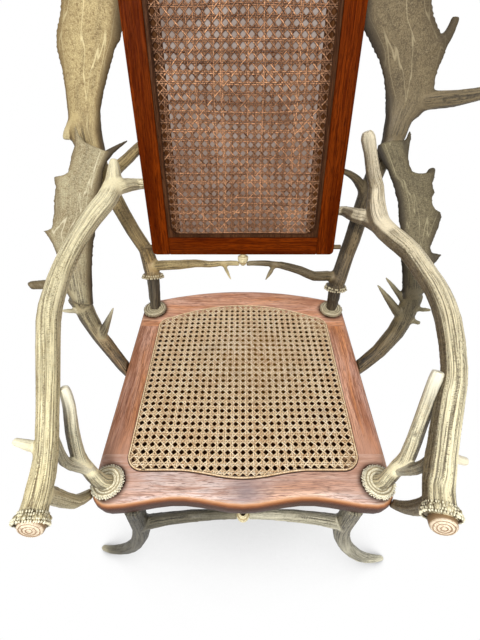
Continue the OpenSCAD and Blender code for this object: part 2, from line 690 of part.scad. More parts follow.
side_right = from(mid_root, [[-10, 16, -24, 15, 15], [14, 30, -17, 15, 15], [46, 46, 8, 16, 16],
    [76, 66, 48, 18, 18], [89, 80, 82, 19, 19], [94, 92, 112, 21, 18], [95, 98, 130, 22, 17]]);
side_left = from(mid_root, [[-10, 8, -24, 14, 14], [12, 25, -15, 14, 14], [36, 46, 9, 15, 15],
    [55, 58, 48, 16, 16], [68, 70, 90, 18, 18], [76, 82, 118, 20, 18], [80, 84, 136, 21, 17]]);
palm_face = [-0.25, -0.6, 0.75];
side_right_plane = [mid_root + [94, 112, 154], mid_root + [32, 268, 351], palm_face];
side_left_plane = [mid_root + [74, 100, 164], mid_root + [37, 260, 350], palm_face];
side_right_rows = [[-30, -30, 16, 17], [-10, -26, 22, 15], [6, -23, 28, 12], [20, -21, 38, 10],
    [30, -20, 50, 8],
    [38, -20, 58, palm_t], [46, -19, 41, palm_t], [57, -17, 40, palm_t], [74, -14, 50, palm_t],
    [91, -12, 60, palm_t], [108, -10, 68, palm_t], [118, -10, 68, palm_t], [126, -10, 60, palm_t],
    [139, -8, 56, palm_t], [150, -7, 58, palm_t], [157, -6, 64, palm_t], [166, -7, 62, palm_t],
    [175, -8, 62, palm_t], [183, -8, 67, 6], [193, -9, 68, 6], [199, -10, 42, 6], [206, -11, 31, 6],
    [219, -13, 28, 6], [234, -19, 28, 6], [254, -25, 34, 5], [264, -27, 33, 4], [272, -22, 4, 3]];
side_left_rows = [[-45, -34, 6, 17], [-27, -31, 20, 15], [4, -27, 30, 12], [37, -24, 40, 9], [56, -23, 49, 8],
    [69, -23, 57, palm_t], [83, -23, 69, palm_t], [91, -24, 56, palm_t], [119, -24, 55, palm_t],
    [147, -22, 57, palm_t], [168, -21, 56, palm_t], [180, -24, 60, 6], [187, -26, 60, 6], [192, -26, 46, 6],
    [200, -26, 37, 6], [216, -26, 36, 6], [235, -30, 34, 6], [251, -36, 31, 5], [259, 10, 31, 4],
    [270, 23, 32, 3], [284, 30, 33, 2]];
// Points on the palms' planes, and twigs lower down the beams
side_right_points = [[[182, 52, 10, 6], [196, 62, 8, 6], [202, 64, 5, 5]],
    [[248, 20, 10, 4], [266, 33, 5, 4], [279, 37, 2, 2]]];
side_left_points = [[[232, -16, 14, 5], [256, -36, 6, 5], [281, -62, 2, 2]],
    [[-20, 6, 11, 10], [-15, 40, 10, 9], [-22, 78, 9, 8], [-24, 84, 6, 6]]];
side_right_twigs = [
    [[82, 78, 80, 12], [50, 91, 116, 8], [18, 102, 150, 2]],
    [[84, 90, 110, 9], [58, 102, 138, 6], [33, 110, 162, 2]],
    [[90, 76, 80, 10], [112, 58, 84, 4]],
    [[92, 86, 100, 9], [122, 62, 118, 3]]];
side_left_twigs = [
    [[48, 56, 50, 12], [28, 60, 84, 7], [6, 65, 122, 2]],
    [[74, 76, 102, 9], [98, 48, 130, 3]]];

module side_antler(s) {
    plane = s < 0 ? side_left_plane : side_right_plane;
    color(s < 0 ? "#a89970" : "#857a5c") side(s) difference() {
        union() {
            limb(s < 0 ? side_left : side_right, palm_face);
            palm(plane, s < 0 ? side_left_rows : side_right_rows);
            for (p = s < 0 ? side_left_points : side_right_points) palm_tine(plane, p);
            for (p = s < 0 ? side_left_twigs : side_right_twigs) tine(from(mid_root, p), palm_face);
        }
        seat_space();
        arm_seat(s);
        side(s) post_space(s);
    }
}

// Legs: each antler stands on one tine and reaches to the middle with the other

front_brace_y = front_disc.y - 24;
rear_brace_y = rear_disc.y + 36;
// Points out from the seat's side, behind the brace and up the leg as a share of its height
function leg_points(points, y) = [for (p = points) [half_w + p[0], y + p[1], under * p[2], p[3]]];

leg_front_right = [[-62, 4, 1.04, 19], [-60, 1, 0.86, 18], [-54, -2, 0.63, 18], [-30, -10, 0.4, 16],
    [20, -18, 0.18, 13], [66, -16, 0.05, 10], [98, -12, 0.002, 6]];
leg_front_left = [[-66, 4, 1.04, 19], [-58, 0, 0.83, 18], [-48, -2, 0.63, 18], [-22, -6, 0.41, 16],
    [22, -4, 0.19, 13], [74, 2, 0.055, 10], [106, 10, 0.002, 6]];
leg_rear = [[-70, -16, 1.04, 19], [-66, -12, 0.84, 18], [-58, -2, 0.62, 18], [-38, 20, 0.4, 16],
    [0, 56, 0.18, 13], [36, 86, 0.05, 10], [58, 104, 0.002, 6]];
brace_front = [[-64, 0, 0.74, 15], [-112, -2, 0.83, 12], [-162, -2, 0.88, 11], [-207, 0, 0.88, 9],
    [-244, 0, 0.865, 7]];
brace_rear = [[-68, -10, 0.74, 15], [-112, -6, 0.82, 12], [-162, -2, 0.87, 11], [-207, 0, 0.88, 9],
    [-244, 0, 0.865, 7]];

module leg(s, points, brace, y) {
    color("#aca181") difference() {
        side(s) union() {
            limb(leg_points(points, y), forward, steps = 2);
            limb(leg_points(brace, y), forward, sides = 8);
        }
        above(under - fit);
        below(0);
        leg_button_at(y) turned_button(fit);
    }
}

// Turned buttons where two tines meet

button_up = 0.865;
back_button_place = on_back(0, 0, back_t / 2);

module turned_button(more = 0) {
    r = button_r;
    l = button_len;
    rotate_extrude($fn = 36) polygon([[0, -more], [r * 0.55 + more, -more], [r * 0.6 + more, l * 0.2],
        [r + more, l * 0.34], [r + more, l * 0.6], [r * 0.7 + more, l * 0.85],
        [r * 0.25 + more, l + more], [0, l + more]]);
}

module back_button_at() {
    translate(back_button_place) rotate([180 - recline, 0, 0]) translate([0, 0, fit]) children();
}

module leg_button_at(y) {
    translate([0, y, under * button_up + button_len / 2]) rotate([180, 0, 0]) children();
}

module back_button() {
    color("#b5a06e") back_button_at() turned_button();
}

module leg_brace_button(y) {
    color("#b5a06e") leg_button_at(y) turned_button();
}

placed() seat_rail_front();
placed() seat_rail_back();
placed() seat_rail_side(-1);  // seat_rail_left
placed() seat_rail_side(1);  // seat_rail_right
placed() corner_blocks();
placed() seat_cane();
placed() seat_cane_binder();
placed() stile(-1);  // back_stile_left
placed() stile(1);  // back_stile_right
placed() cross_rail(back_len - cross_rail_w);  // back_rail_top
placed() cross_rail(0);  // back_rail_bottom
placed() back_cane();
placed() back_beading();
placed() back_lining();
placed() lining_sprigs();
placed() disc(-1, front_disc);  // disc_front_left
placed() disc(1, front_disc);  // disc_front_right
placed() disc(-1, rear_disc);  // disc_rear_left
placed() disc(1, rear_disc);  // disc_rear_right
placed() disc_screws();
placed() post_stub(-1);  // post_stub_left
placed() post_stub(1);  // post_stub_right
placed() post_antler(-1);  // post_antler_left
placed() post_antler(1);  // post_antler_right
placed() back_pegs();
placed() arm(-1);  // arm_left
placed() arm(1);  // arm_right
placed() arm_support(-1);  // arm_support_left
placed() arm_support(1);  // arm_support_right
placed() side_antler(-1);  // side_antler_left
placed() side_antler(1);  // side_antler_right
placed() leg(-1, leg_front_left, brace_front, front_brace_y);
placed() leg(1, leg_front_right, brace_front, front_brace_y);
placed() leg(-1, leg_rear, brace_rear, rear_brace_y);  // leg_rear_left
placed() leg(1, leg_rear, brace_rear, rear_brace_y);  // leg_rear_right
placed() back_button();
placed() leg_brace_button(front_brace_y);  // front_button
placed() leg_brace_button(rear_brace_y);  // rear_button
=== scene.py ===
import math

import bmesh
import bpy
import numpy as np
from mathutils import Matrix, Vector


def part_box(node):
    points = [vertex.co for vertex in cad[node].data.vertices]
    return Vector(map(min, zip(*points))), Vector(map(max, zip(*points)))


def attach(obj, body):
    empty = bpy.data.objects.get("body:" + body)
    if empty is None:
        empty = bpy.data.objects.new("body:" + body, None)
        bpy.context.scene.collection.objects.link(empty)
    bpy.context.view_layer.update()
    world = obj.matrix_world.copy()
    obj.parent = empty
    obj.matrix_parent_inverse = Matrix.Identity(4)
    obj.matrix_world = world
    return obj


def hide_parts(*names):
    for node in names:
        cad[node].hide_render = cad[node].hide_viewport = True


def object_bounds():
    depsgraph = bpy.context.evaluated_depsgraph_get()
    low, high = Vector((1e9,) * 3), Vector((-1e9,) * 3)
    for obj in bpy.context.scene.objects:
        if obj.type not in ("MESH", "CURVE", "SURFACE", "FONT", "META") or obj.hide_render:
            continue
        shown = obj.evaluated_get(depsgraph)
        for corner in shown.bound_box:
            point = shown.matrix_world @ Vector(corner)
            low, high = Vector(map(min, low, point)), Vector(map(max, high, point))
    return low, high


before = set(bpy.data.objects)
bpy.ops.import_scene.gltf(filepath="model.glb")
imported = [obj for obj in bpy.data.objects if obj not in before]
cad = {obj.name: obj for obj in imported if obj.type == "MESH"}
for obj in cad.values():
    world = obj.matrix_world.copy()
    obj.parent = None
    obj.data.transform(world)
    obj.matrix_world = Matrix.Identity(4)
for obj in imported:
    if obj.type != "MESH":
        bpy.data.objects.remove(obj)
cad_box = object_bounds()
scene = bpy.context.scene

# The camera looks down at the chair from the front, as the photograph does.
# Places are given in millimetres from the middle of the seat, at floor level.
seat_middle = Vector((-36.4, -51.2, 0))
picture_height, pixels_aside = 640, -3


def at(x, y, z):
    return (Vector((x, y, z)) + seat_middle) / 1000


def placed(name, data):
    holder = bpy.data.objects.new(name, data)
    scene.collection.objects.link(holder)
    return holder


camera = placed("camera", bpy.data.cameras.new("camera"))
camera.location = at(0, -415.8, 1024.55)
camera.rotation_euler = (math.radians(44), 0, 0)
camera.data.lens = 18.84
camera.data.shift_x = pixels_aside / picture_height
camera.data.clip_start = 0.02
scene.camera = camera
scene.view_settings.view_transform = "Standard"

# Pale floor, white surroundings and soft lamps.
# The floor shows white to the camera, and darkens only where the chair shuts out the light.


def add(tree, kind, inputs=None, **settings):
    """A new node, whose inputs take plain values or other nodes' outputs."""
    made = tree.nodes.new("ShaderNode" + kind)
    for name, value in settings.items():
        setattr(made, name, value)
    for name, value in (inputs or {}).items():
        if isinstance(value, bpy.types.NodeSocket):
            tree.links.new(value, made.inputs[name])
        else:
            made.inputs[name].default_value = value
    return made


def tone(*levels):
    """A colour as a screen shows it, from 0 to 255, turned into the amounts of light that nodes take."""
    return tuple(((v / 255 + 0.055) / 1.055) ** 2.4 if v > 10 else v / 255 / 12.92 for v in levels)


def ramp(source, *stops):
    """Amounts or colours that follow the source's value."""
    made = add(source.id_data, "ValToRGB", {"Fac": source})
    marks = made.color_ramp.elements
    while len(marks) < len(stops):
        marks.new(0.5)
    for mark, (place, shade) in zip(marks, stops):
        mark.position = place
        mark.color = (*tone(*shade), 1) if isinstance(shade, tuple) else (shade, shade, shade, 1)
    return made.outputs["Color"]


def fresh_material(name):
    material = bpy.data.materials.new(name)
    material.use_nodes = True
    material.node_tree.nodes.clear()
    return material, material.node_tree


def show(tree, shader, output="OutputMaterial"):
    add(tree, output, {"Surface": shader.outputs[0]})


def for_background(tree, others, seen):
    """The shader seen by rays that show the background: the camera's, and those in reflections and glass."""
    path = add(tree, "LightPath").outputs
    straight = add(tree, "Math", {0: path["Is Camera Ray"], 1: path["Is Glossy Ray"]}, operation="MAXIMUM")
    every = add(tree, "Math", {0: straight.outputs[0], 1: path["Is Transmission Ray"]}, operation="MAXIMUM")
    return add(tree, "MixShader", {0: every.outputs[0], 1: others.outputs[0], 2: seen.outputs[0]})


def flat_grid(width, depth, across=1, up=1):
    bm = bmesh.new()
    bmesh.ops.create_grid(bm, x_segments=across, y_segments=up, size=0.5)
    bmesh.ops.scale(bm, vec=(width, depth, 1), verts=bm.verts)
    return bm


def mesh_of(bm, name):
    mesh = bpy.data.meshes.new(name)
    bm.to_mesh(mesh)
    bm.free()
    return mesh


def stage_plane(name, finish, width, depth, place=(0, 0, 0)):
    """A plane that is part of the stage and not of the chair."""
    plane = placed(name, mesh_of(flat_grid(width, depth), name))
    plane.data.transform(Matrix.Translation(place))
    plane.data.materials.append(finish)


floor_finish, tree = fresh_material("floor")
open_sky = add(tree, "AmbientOcclusion", {"Distance": 0.6}, samples=48).outputs["AO"]
white = add(tree, "Emission", {"Color": ramp(open_sky, (0.0, 0.03), (0.35, 0.2), (0.6, 0.62), (0.8, 1.0))})
plain = add(tree, "BsdfDiffuse", {"Color": (0.75, 0.75, 0.75, 1)})
show(tree, for_background(tree, plain, white))
floor_size = 28
stage_plane("floor", floor_finish, floor_size, floor_size)

world = bpy.data.worlds.new("surroundings")
world.use_nodes = True
scene.world = world
tree = world.node_tree
tree.nodes.clear()
lit = add(tree, "Background", {"Color": (0.95, 0.97, 1.0, 1), "Strength": 0.45})
clear = add(tree, "Background", {"Color": (1, 1, 1, 1), "Strength": 1.0})
show(tree, for_background(tree, lit, clear), "OutputWorld")

for name, place, power, size in (("key", (-0.5, -1.9, 2.7), 74, 0.9), ("fill", (1.6, -2.0, 1.6), 16, 1.6),
                                 ("rear", (0.3, 2.3, 2.6), 14, 1.5)):
    lamp = bpy.data.lights.new(name, "AREA")
    lamp.energy = power
    lamp.size = size
    holder = placed(name, lamp)
    holder.location = place
    holder.rotation_euler = (Vector((0, 0, 0.6)) - Vector(place)).to_track_quat("-Z", "Y").to_euler()

# Seat frame: four boards of reddish oak with a rounded nose, pale along the front from wear and painted
# sheen.
# The CAD boards keep their shape; a merged copy of each takes a smooth nose and the grain.


def place_on(tree):
    return add(tree, "TexCoord").outputs["Object"]


def noise(vector, stretch, detail=4.0, rough=0.55, distort=0.0):
    tree = vector.id_data
    scale = stretch if isinstance(stretch, tuple) else (stretch,) * 3
    mapping = add(tree, "Mapping", {"Vector": vector, "Scale": scale})
    return add(tree, "TexNoise", {"Vector": mapping.outputs[0], "Scale": 1.0, "Detail": detail,
                                  "Roughness": rough, "Distortion": distort}).outputs["Fac"]


def maths(operation, first, second=0.5, third=0.5):
    return add(first.id_data, "Math", {0: first, 1: second, 2: third}, operation=operation).outputs[0]


def times(first, second):
    return maths("MULTIPLY", first, second)


def scaled(value, by, plus):
    return maths("MULTIPLY_ADD", value, by, plus)


def blend_colour(factor, first, second, mode="MIX"):
    tree = next(v.id_data for v in (factor, first, second) if isinstance(v, bpy.types.NodeSocket))
    first, second = ((*tone(*v), 1) if isinstance(v, tuple) else v for v in (first, second))
    return add(tree, "Mix", {0: factor, 6: first, 7: second}, data_type="RGBA", blend_type=mode,
               clamp_result=True).outputs[2]


def layered(colour, *layers):
    """The colour under layers, each with its mask, what multiplies the mask, and its own colour."""
    for mask, amount, shade in layers:
        colour = blend_colour(times(mask, amount), colour, shade)
    return colour


def new_group(name, colours, values):
    """A group, and what it is given: a vector, colours and values."""
    group = bpy.data.node_groups.new(name, "ShaderNodeTree")
    for way, kind, labels in (("INPUT", "Vector", ["Vector"]), ("INPUT", "Color", colours),
                              ("INPUT", "Float", values), ("OUTPUT", "Color", ["Color"]),
                              ("OUTPUT", "Float", ["Roughness", "Height"])):
        for label in labels:
            group.interface.new_socket(label, in_out=way, socket_type="NodeSocket" + kind)
    return group, group.nodes.new("NodeGroupInput").outputs[:1 + len(colours) + len(values)]


def put_out(group, colour, rough, height):
    out = group.nodes.new("NodeGroupOutput")
    for source, target in zip((colour, rough, height), out.inputs):
        group.links.new(source, target)


grain, (place, light, dark, worn_and_sheen, warm, wear_and_sheen, warmth) = new_group(
    "oak_grain", ["Light", "Dark", "Worn_and_sheen", "Warm"], ["Wear", "Warmth"])
bend = {0: noise(place, (3, 9, 9), 3, 0.5), 1: (0.0, 0.022, 0.022), 2: place}
place = add(grain, "VectorMath", bend, operation="MULTIPLY_ADD").outputs[0]
figure = noise(place, (3.5, 60, 60), 5, 0.6, 0.6)
streaks = noise(place, (11, 420, 420), 3, 0.6, 0.3)
patches = noise(place, (5, 14, 14), 3, 0.5, 0.5)
glow = noise(place, (4, 31, 31), 4, 0.6, 0.4)
pores = ramp(noise(place, (55, 1300, 1300), 2, 0.5), (0.36, 1.0), (0.46, 0.0))
# Pale patches of wear, which on the seat's boards also stand for painted sheen.
body = layered(dark, (ramp(figure, (0.36, 0.0), (0.64, 1.0)), 1.0, light),
               (ramp(patches, (0.42, 0.0), (0.66, 1.0)), wear_and_sheen, worn_and_sheen),
               (ramp(glow, (0.48, 0.0), (0.62, 1.0)), warmth, warm),
               (ramp(streaks, (0.4, 0.85), (0.54, 0.0)), 1.0, dark),
               (pores, 0.75, blend_colour(1.0, dark, (160, 153, 153), "MULTIPLY")))
put_out(grain, body, scaled(figure, 0.2, 0.32), scaled(pores, -1.0, times(streaks, 0.5)))


def surfaced(tree, colour, rough, gloss=0.5, bumps=None, **others):
    """The material's surface. bumps are a height, how strongly it shows, and its depth in metres."""
    inputs = {"Base Color": colour, "Roughness": rough, "Specular IOR Level": gloss, **others}
    if bumps:
        inputs["Normal"] = add(tree, "Bump", dict(zip(("Height", "Strength", "Distance"), bumps))).outputs[0]
    show(tree, add(tree, "BsdfPrincipled", inputs))


def grouped(tree, group, place, colours, values):
    """A group's outputs in a material, with its colours and values set in order."""
    made = add(tree, "Group", {"Vector": place}, node_tree=group)
    for socket, value in zip(made.inputs[1:], [(*tone(*shade), 1) for shade in colours] + values):
        socket.default_value = value
    return made.outputs


def oak(name, turn, light, dark, worn_and_sheen, wear_and_sheen, gloss=0.0, shift=(0, 0, 0), warm=(0, 0, 0), warmth=0.0,
        nose=None, spots_of_stain_and_shade=()):
    """nose gives the lowest and highest point of a board's rounded edge, and its colours upwards: painted
    shade below and, on the front, a painted highlight along the top, over some wear.

    Each spot in the list after nose gives its place, how far its mark reaches, its colour and its strength:
    painted shade round the discs, wear and painted sheen at the front board's middle, and stains at the front
    corners."""
    material, tree = fresh_material(name)
    place = place_on(tree)
    along = add(tree, "Mapping", {"Vector": place, "Rotation": turn, "Location": shift}).outputs[0]
    boards = grouped(tree, grain, along, (light, dark, worn_and_sheen, warm), [wear_and_sheen, warmth])
    colour = boards["Color"]
    # Each spot darkens or stains the wood round it; round the discs this is painted shade.
    for spot, (full, none), deep, amount in spots_of_stain_and_shade:
        far = add(tree, "VectorMath", {0: place, 1: spot}, operation="DISTANCE").outputs["Value"]
        colour = layered(colour, (ramp(far, (full, amount), (none, 0.0)),
                                  maths("ADD", noise(place, 60), 0.45), deep))
    if nose:
        low, high, shades = nose
        up = add(tree, "SeparateXYZ", {0: place}).outputs["Z"]
        edge = add(tree, "MapRange", {"Value": up, "From Min": low, "From Max": high}).outputs[0]
        # The nose's colours paint shade below and a highlight above, over wear.
        nose_wear_and_painted_light = blend_colour(0.94, colour, ramp(edge, *shades))
        colour = blend_colour(ramp(edge, (0.86, 1.0), (0.97, 0.0)), colour, nose_wear_and_painted_light)
    surfaced(tree, colour, boards["Roughness"], gloss, (boards["Height"], 0.5, 0.0005))
    return material


def new_piece(name, mesh, slot, material, *replaced, sharp=None):
    """A finished piece. Edges that turn by more than sharp, in degrees, stay crisp."""
    mesh.shade_smooth()
    if sharp:
        mesh.set_sharp_from_angle(angle=math.radians(sharp))
    mesh.materials.append(material)
    piece = placed(name, mesh)
    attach(piece, "root")
    if replaced:
        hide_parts(*replaced)
    return piece


def merged_copy(node):
    """A CAD solid with the points of its facets joined, for bmesh to work on."""
    bm = bmesh.new()
    bm.from_mesh(cad[node].data)
    bmesh.ops.remove_doubles(bm, verts=bm.verts, dist=2e-6)
    bmesh.ops.recalc_face_normals(bm, faces=bm.faces)
    return bm


def board(name, node, slot, material, edge=0.0, square=None):
    """A board's smooth copy. Below the height square, the front board's nose drops nearly straight."""
    bm = merged_copy(node)
    if square:
        low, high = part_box(node)
        front, same, nose_depth, straighter = low[1] + 0.04, 1e-4, 0.014, 0.8
        brow = [v for v in bm.verts if abs(v.co.z - square) < same and v.co.y < front]
        for v in bm.verts:
            if low[2] + same < v.co.z < square - same:
                outward = min((b.co.xy - v.co.xy for b in brow), key=lambda way: way.length)
                if outward.length < nose_depth:
                    v.co.xy += outward * straighter
    bmesh.ops.dissolve_limit(bm, angle_limit=math.radians(2), verts=bm.verts, edges=bm.edges)
    piece = new_piece(name, mesh_of(bm, name), slot, material, node, sharp=40)
    if edge:
        rounding = piece.modifiers.new("edge", "BEVEL")
        rounding.width = edge
        rounding.segments = 3
        rounding.limit_method = "ANGLE"
        rounding.angle_limit = math.radians(40)
        rounding.harden_normals = True


def finish_node(material, *nodes):
    """CAD solids that are shown as they are, in a finish of their own."""
    for node in nodes:
        cad[node].data.materials.clear()
        cad[node].data.materials.append(material)


seat_top, seat_thick, nose_square = 440, 36, 22.5
quarter = math.pi / 2
disc_places = {"front": (223, -224.5, seat_top), "rear": (219, 183.5, seat_top)}
# Round each disc the boards take painted shade.
disc_painted_shade = [(at(s * x, y, z), (0.0265, 0.036), (44, 25, 14), 1.0)
             for s in (-1, 1) for x, y, z in disc_places.values()]
joint_stains = [(at(s * 212, -186, seat_top), (0.02, 0.075), (194, 146, 122), 0.75) for s in (-1, 1)]
# The front board's middle takes a grey patch of wear and painted sheen.
middle_wear_and_sheen = [(at(6, -240, seat_top), (0.004, 0.05), (150, 132, 132), 0.8)]
# Each nose takes painted shade towards its underside; the front nose also takes a painted highlight along its
# top, over wear.
side_nose_shade = (0.0, (40, 22, 8)), (0.6, (74, 44, 20)), (0.8, (134, 84, 48)), (0.95, (190, 138, 98))
front_nose_highlight_and_shade = ((0.45, (52, 22, 4)), (0.62, (84, 42, 14)), (0.74, (132, 76, 36)), (0.85, (200, 142, 98)),
              (0.95, (236, 194, 156)))
side_tones = (228, 175, 144), (158, 103, 76), (212, 170, 154)
for name, turn, shift, tones in (
        ("front", 0, (0, 0, 0), ((242, 209, 186), (182, 142, 124), (220, 204, 200))),
        ("back", 0, (0.4, 0.3, 0), ((246, 194, 160), (172, 115, 86), (226, 182, 164))),
        ("left", quarter, (0.7, 0.1, 0), side_tones), ("right", quarter, (0.2, 0.6, 0), side_tones)):
    front = name == "front"
    nose = (seat_top - seat_thick) / 1000, (seat_top - 1) / 1000, front_nose_highlight_and_shade if front else side_nose_shade
    spots_of_stain_and_shade = joint_stains + (middle_wear_and_sheen if front else []) + disc_painted_shade
    finish = oak(f"seat_oak_{name}", (0, 0, turn), *tones, 0.85, 0.07, shift, (222, 144, 84),
                 0.35 if front else 0.6, nose, spots_of_stain_and_shade)
    board(f"seat_board_{name}", f"seat_rail_{name}", "seat_wood", finish,
          square=(seat_top - nose_square) / 1000 if front else None)

# Corner blocks: short blocks of plain pale wood in the seat's inner corners.
# They are glued to the boards, and nothing else holds them.
finish_node(oak("block_wood", (0, 0, quarter), (180, 144, 104), (149, 112, 78), (170, 142, 112), 0.3),
            "corner_blocks")

# Woven cane: upright and level strands in pairs, and two slanting strands that pass over and
# under them, so that eight-sided holes are left between. Each strand is one ribbon of split rattan.


def mm(length):
    return length / 1000


def ribbon_profile(name, wide, thick):
    outline = bpy.data.curves.new(name, "CURVE")
    outline.dimensions = "2D"
    line = outline.splines.new("POLY")
    points = [(-wide, -thick), (wide, -thick), (wide * 0.95, thick * 0.2), (wide * 0.4, thick),
              (-wide * 0.4, thick), (-wide * 0.95, thick * 0.2)]
    line.points.add(len(points) - 1)
    for point, (x, y) in zip(line.points, points):
        point.co = (x, y, 0, 1)
    line.use_cyclic_u = True
    return bpy.data.objects.new(name, outline)


def mark(mesh, label, values, kind="FLOAT", field="value"):
    """One value for each point of the mesh, which its material reads."""
    mesh.attributes.new(label, kind, "POINT").data.foreach_set(field, values.astype(np.float32).ravel())


def mesh_from(holder):
    """The mesh of an object with its bevel or modifiers. The object itself is taken away."""
    mesh = bpy.data.meshes.new_from_object(holder.evaluated_get(bpy.context.evaluated_depsgraph_get()))
    bpy.data.objects.remove(holder)
    return mesh


def ribbons(name, lines, wide, thick):
    """One mesh of ribbons along the given lines of points, in millimetres, with a value for each ribbon."""
    profile = ribbon_profile(name + "_profile", mm(wide), mm(thick))
    bundle = bpy.data.curves.new(name, "CURVE")
    bundle.dimensions = "3D"
    bundle.twist_mode = "Z_UP"
    bundle.bevel_mode = "OBJECT"
    bundle.bevel_object = profile
    for points in lines:
        line = bundle.splines.new("POLY")
        line.points.add(len(points) - 1)
        flat = np.ones((len(points), 4))
        flat[:, :3] = np.asarray(points) / 1000
        line.points.foreach_set("co", flat.ravel())
    mesh = mesh_from(placed(name, bundle))
    bpy.data.objects.remove(profile)
    counts = np.array([len(points) for points in lines])
    share = len(mesh.vertices) // counts.sum()
    tint = np.random.RandomState(len(lines)).rand(len(lines))
    mark(mesh, "tint", np.repeat(tint, counts * share))
    # Each ribbon's sides are marked, where the cane's material paints shade.
    mark(mesh, "side", np.tile((1.0, 1.0, 1.0, 0.0, 0.0, 1.0), counts.sum()))
    return mesh


def joined(name, meshes):
    """One mesh from several, whose attributes are kept."""
    holders = [placed(name, mesh) for mesh in meshes]
    with bpy.context.temp_override(active_object=holders[0], selected_editable_objects=holders):
        bpy.ops.object.join()
    mesh = holders[0].data
    bpy.data.objects.remove(holders[0])
    return mesh


def weave(name, pitch, phase, low, high, inside, warp, widths, gap=1.5, lift=0.42):
    """Every strand of a six-way cane panel that covers the points where inside(x, y) is true."""
    step, fewest, margin, thick, over_pair = 0.4, 8, 0.8, 0.42, 2.3 * lift
    columns = math.floor(low[0] / pitch) - 1, math.ceil(high[0] / pitch) + 1
    rows = math.floor((low[1] - phase) / pitch) - 1, math.ceil((high[1] - phase) / pitch) + 1
    crossing_x = [(k + 0.5) * pitch for k in range(*columns)]
    crossing_y = [phase + (j + 0.5) * pitch for j in range(*rows)]
    bottom, left = low[1] - pitch, low[0] - pitch
    tall, across = high[1] - low[1] + 2 * pitch, high[0] - low[0] + 2 * pitch
    strands = {"upright": [], "level": [], "slanting": []}

    def lay(kind, start, direction, length, knots, heights):
        """A strand cut to the panel, with a knot at each crossing and the height at which it passes there."""
        start, direction = np.array(start), np.array(direction)
        run = np.arange(0, length, step)
        kept = inside(*(start + run[:, None] * direction).T)
        if kept.sum() < fewest:
            return
        first, last = run[kept.argmax()], run[len(run) - 1 - kept[::-1].argmax()]
        order = np.argsort(knots)
        knots, heights = np.asarray(knots)[order], np.asarray(heights)[order]
        within = (knots > first + margin) & (knots < last - margin)
        run = np.concatenate([[first], knots[within], [last]])
        x, y = (start + run[:, None] * direction).T
        dx, dy = warp(x, y)
        strands[kind].append(np.stack([x + dx, y + dy, np.concatenate([[0], heights[within], [0]])], 1))

    def lay_pairs(kind, places, crossings, begin, length, rise):
        knots = [v - begin + d for v in crossings for d in (-gap, gap, pitch / 2)]
        for place in places:
            for s in (-1, 1):
                heights = [s * rise, -s * rise, 0] * len(crossings)
                start, way = (place + s * gap, begin), (0, 1)
                if kind == "level":
                    start, way = start[::-1], way[::-1]
                lay(kind, start, way, length, knots, heights)

    lay_pairs("upright", crossing_x, crossing_y, bottom, tall, lift)
    lay_pairs("level", crossing_y, crossing_x, left, across, -lift)
    # A slanting strand crosses the level pairs over the columns of holes and the upright pairs over the rows
    root = math.sqrt(0.5)
    span = int((across + tall) / pitch) + 2
    x0 = columns[0] * pitch
    steps = range(int((high[0] - x0) / pitch * 2) + 4)
    knots = [i * pitch / 2 / root for i in steps]
    for way in (1, -1):
        heights = [way * over_pair * (-1) ** i for i in steps]
        for k in range(-span, span):
            lay("slanting", (x0, crossing_y[0] + k * pitch), (root, way * root), knots[-1], knots, heights)
    return joined(name, [ribbons(f"{name}_{kind}", lines, widths[kind == "slanting"], thick)
                         for kind, lines in strands.items()])


def read(tree, label, output="Fac"):
    return add(tree, "Attribute", attribute_name=label).outputs[output]


def cane_finish(name, pale, deep, stain, painted_highlight, gloss=0.5, edge=1.0):
    """Beyond edge, measured across from the chair's middle, the strands take painted shade."""
    material, tree = fresh_material(name)
    place = place_on(tree)
    tint, side = read(tree, "tint"), read(tree, "side")
    clouds = noise(place, 22, 3)
    specks = noise(place, 520, 2, 0.7)
    mixed = maths("ADD", scaled(tint, 0.4, times(clouds, 0.3)), scaled(specks, 1.6, -0.65))
    x = add(tree, "SeparateXYZ", {0: place}).outputs["X"]
    aside = maths("ABSOLUTE", maths("SUBTRACT", x, mm(seat_middle.x)))
    colour = layered(deep, (ramp(mixed, (0.15, 0.0), (0.7, 1.0)), 1.0, pale),
                     (ramp(clouds, (0.56, 0.0), (0.76, 0.35)), 1.0, stain),
                     # A few strands take painted highlights.
                     (ramp(tint, (0.7, 0.1), (0.8, 0.8)), ramp(specks, (0.45, 0.0), (0.6, 1.0)), painted_highlight),
                     # The strands' sides take painted shade, so that dark lines show between them.
                     (ramp(side, (0.1, 0.0), (0.7, 0.9)), 1.0, stain),
                     # Beyond edge the strands take painted shade.
                     (maths("GREATER_THAN", aside, edge), 0.3, stain))
    surfaced(tree, colour, 0.5, gloss, (specks, 0.3, 0.0003))
    return material


cane_x, cane_front, cane_rear, cane_corner = 195, -201.5, 152.5, 24
front_bow, front_bow_half, rear_bow = 13, 115, 41


def seat_front(x):
    return cane_front - front_bow * (0.5 + 0.5 * np.cos(np.pi * np.minimum(1, np.abs(x) / front_bow_half)))


def seat_rear(x):
    return cane_rear + rear_bow * (1 - (x / (cane_x - cane_corner)) ** 2)


def in_seat(x, y, grow=3.0):
    straight = cane_x - cane_corner
    side = np.maximum(np.abs(x) - straight, 0)
    reach = np.sqrt(np.maximum((cane_corner + grow) ** 2 - side ** 2, 0)) - (cane_corner + grow)
    inner_x = np.clip(x, -straight, straight)
    low = seat_front(inner_x) - grow - reach
    high = seat_rear(inner_x) + grow + reach
    return (np.abs(x) < cane_x + grow) & (y > low) & (y < high)


def sway(x, y):
    return 0.9 * np.sin(y / 47 + 1) * np.sin(x / 61), 1.1 * np.sin(x / 53 + 2) * np.sin(y / 71)


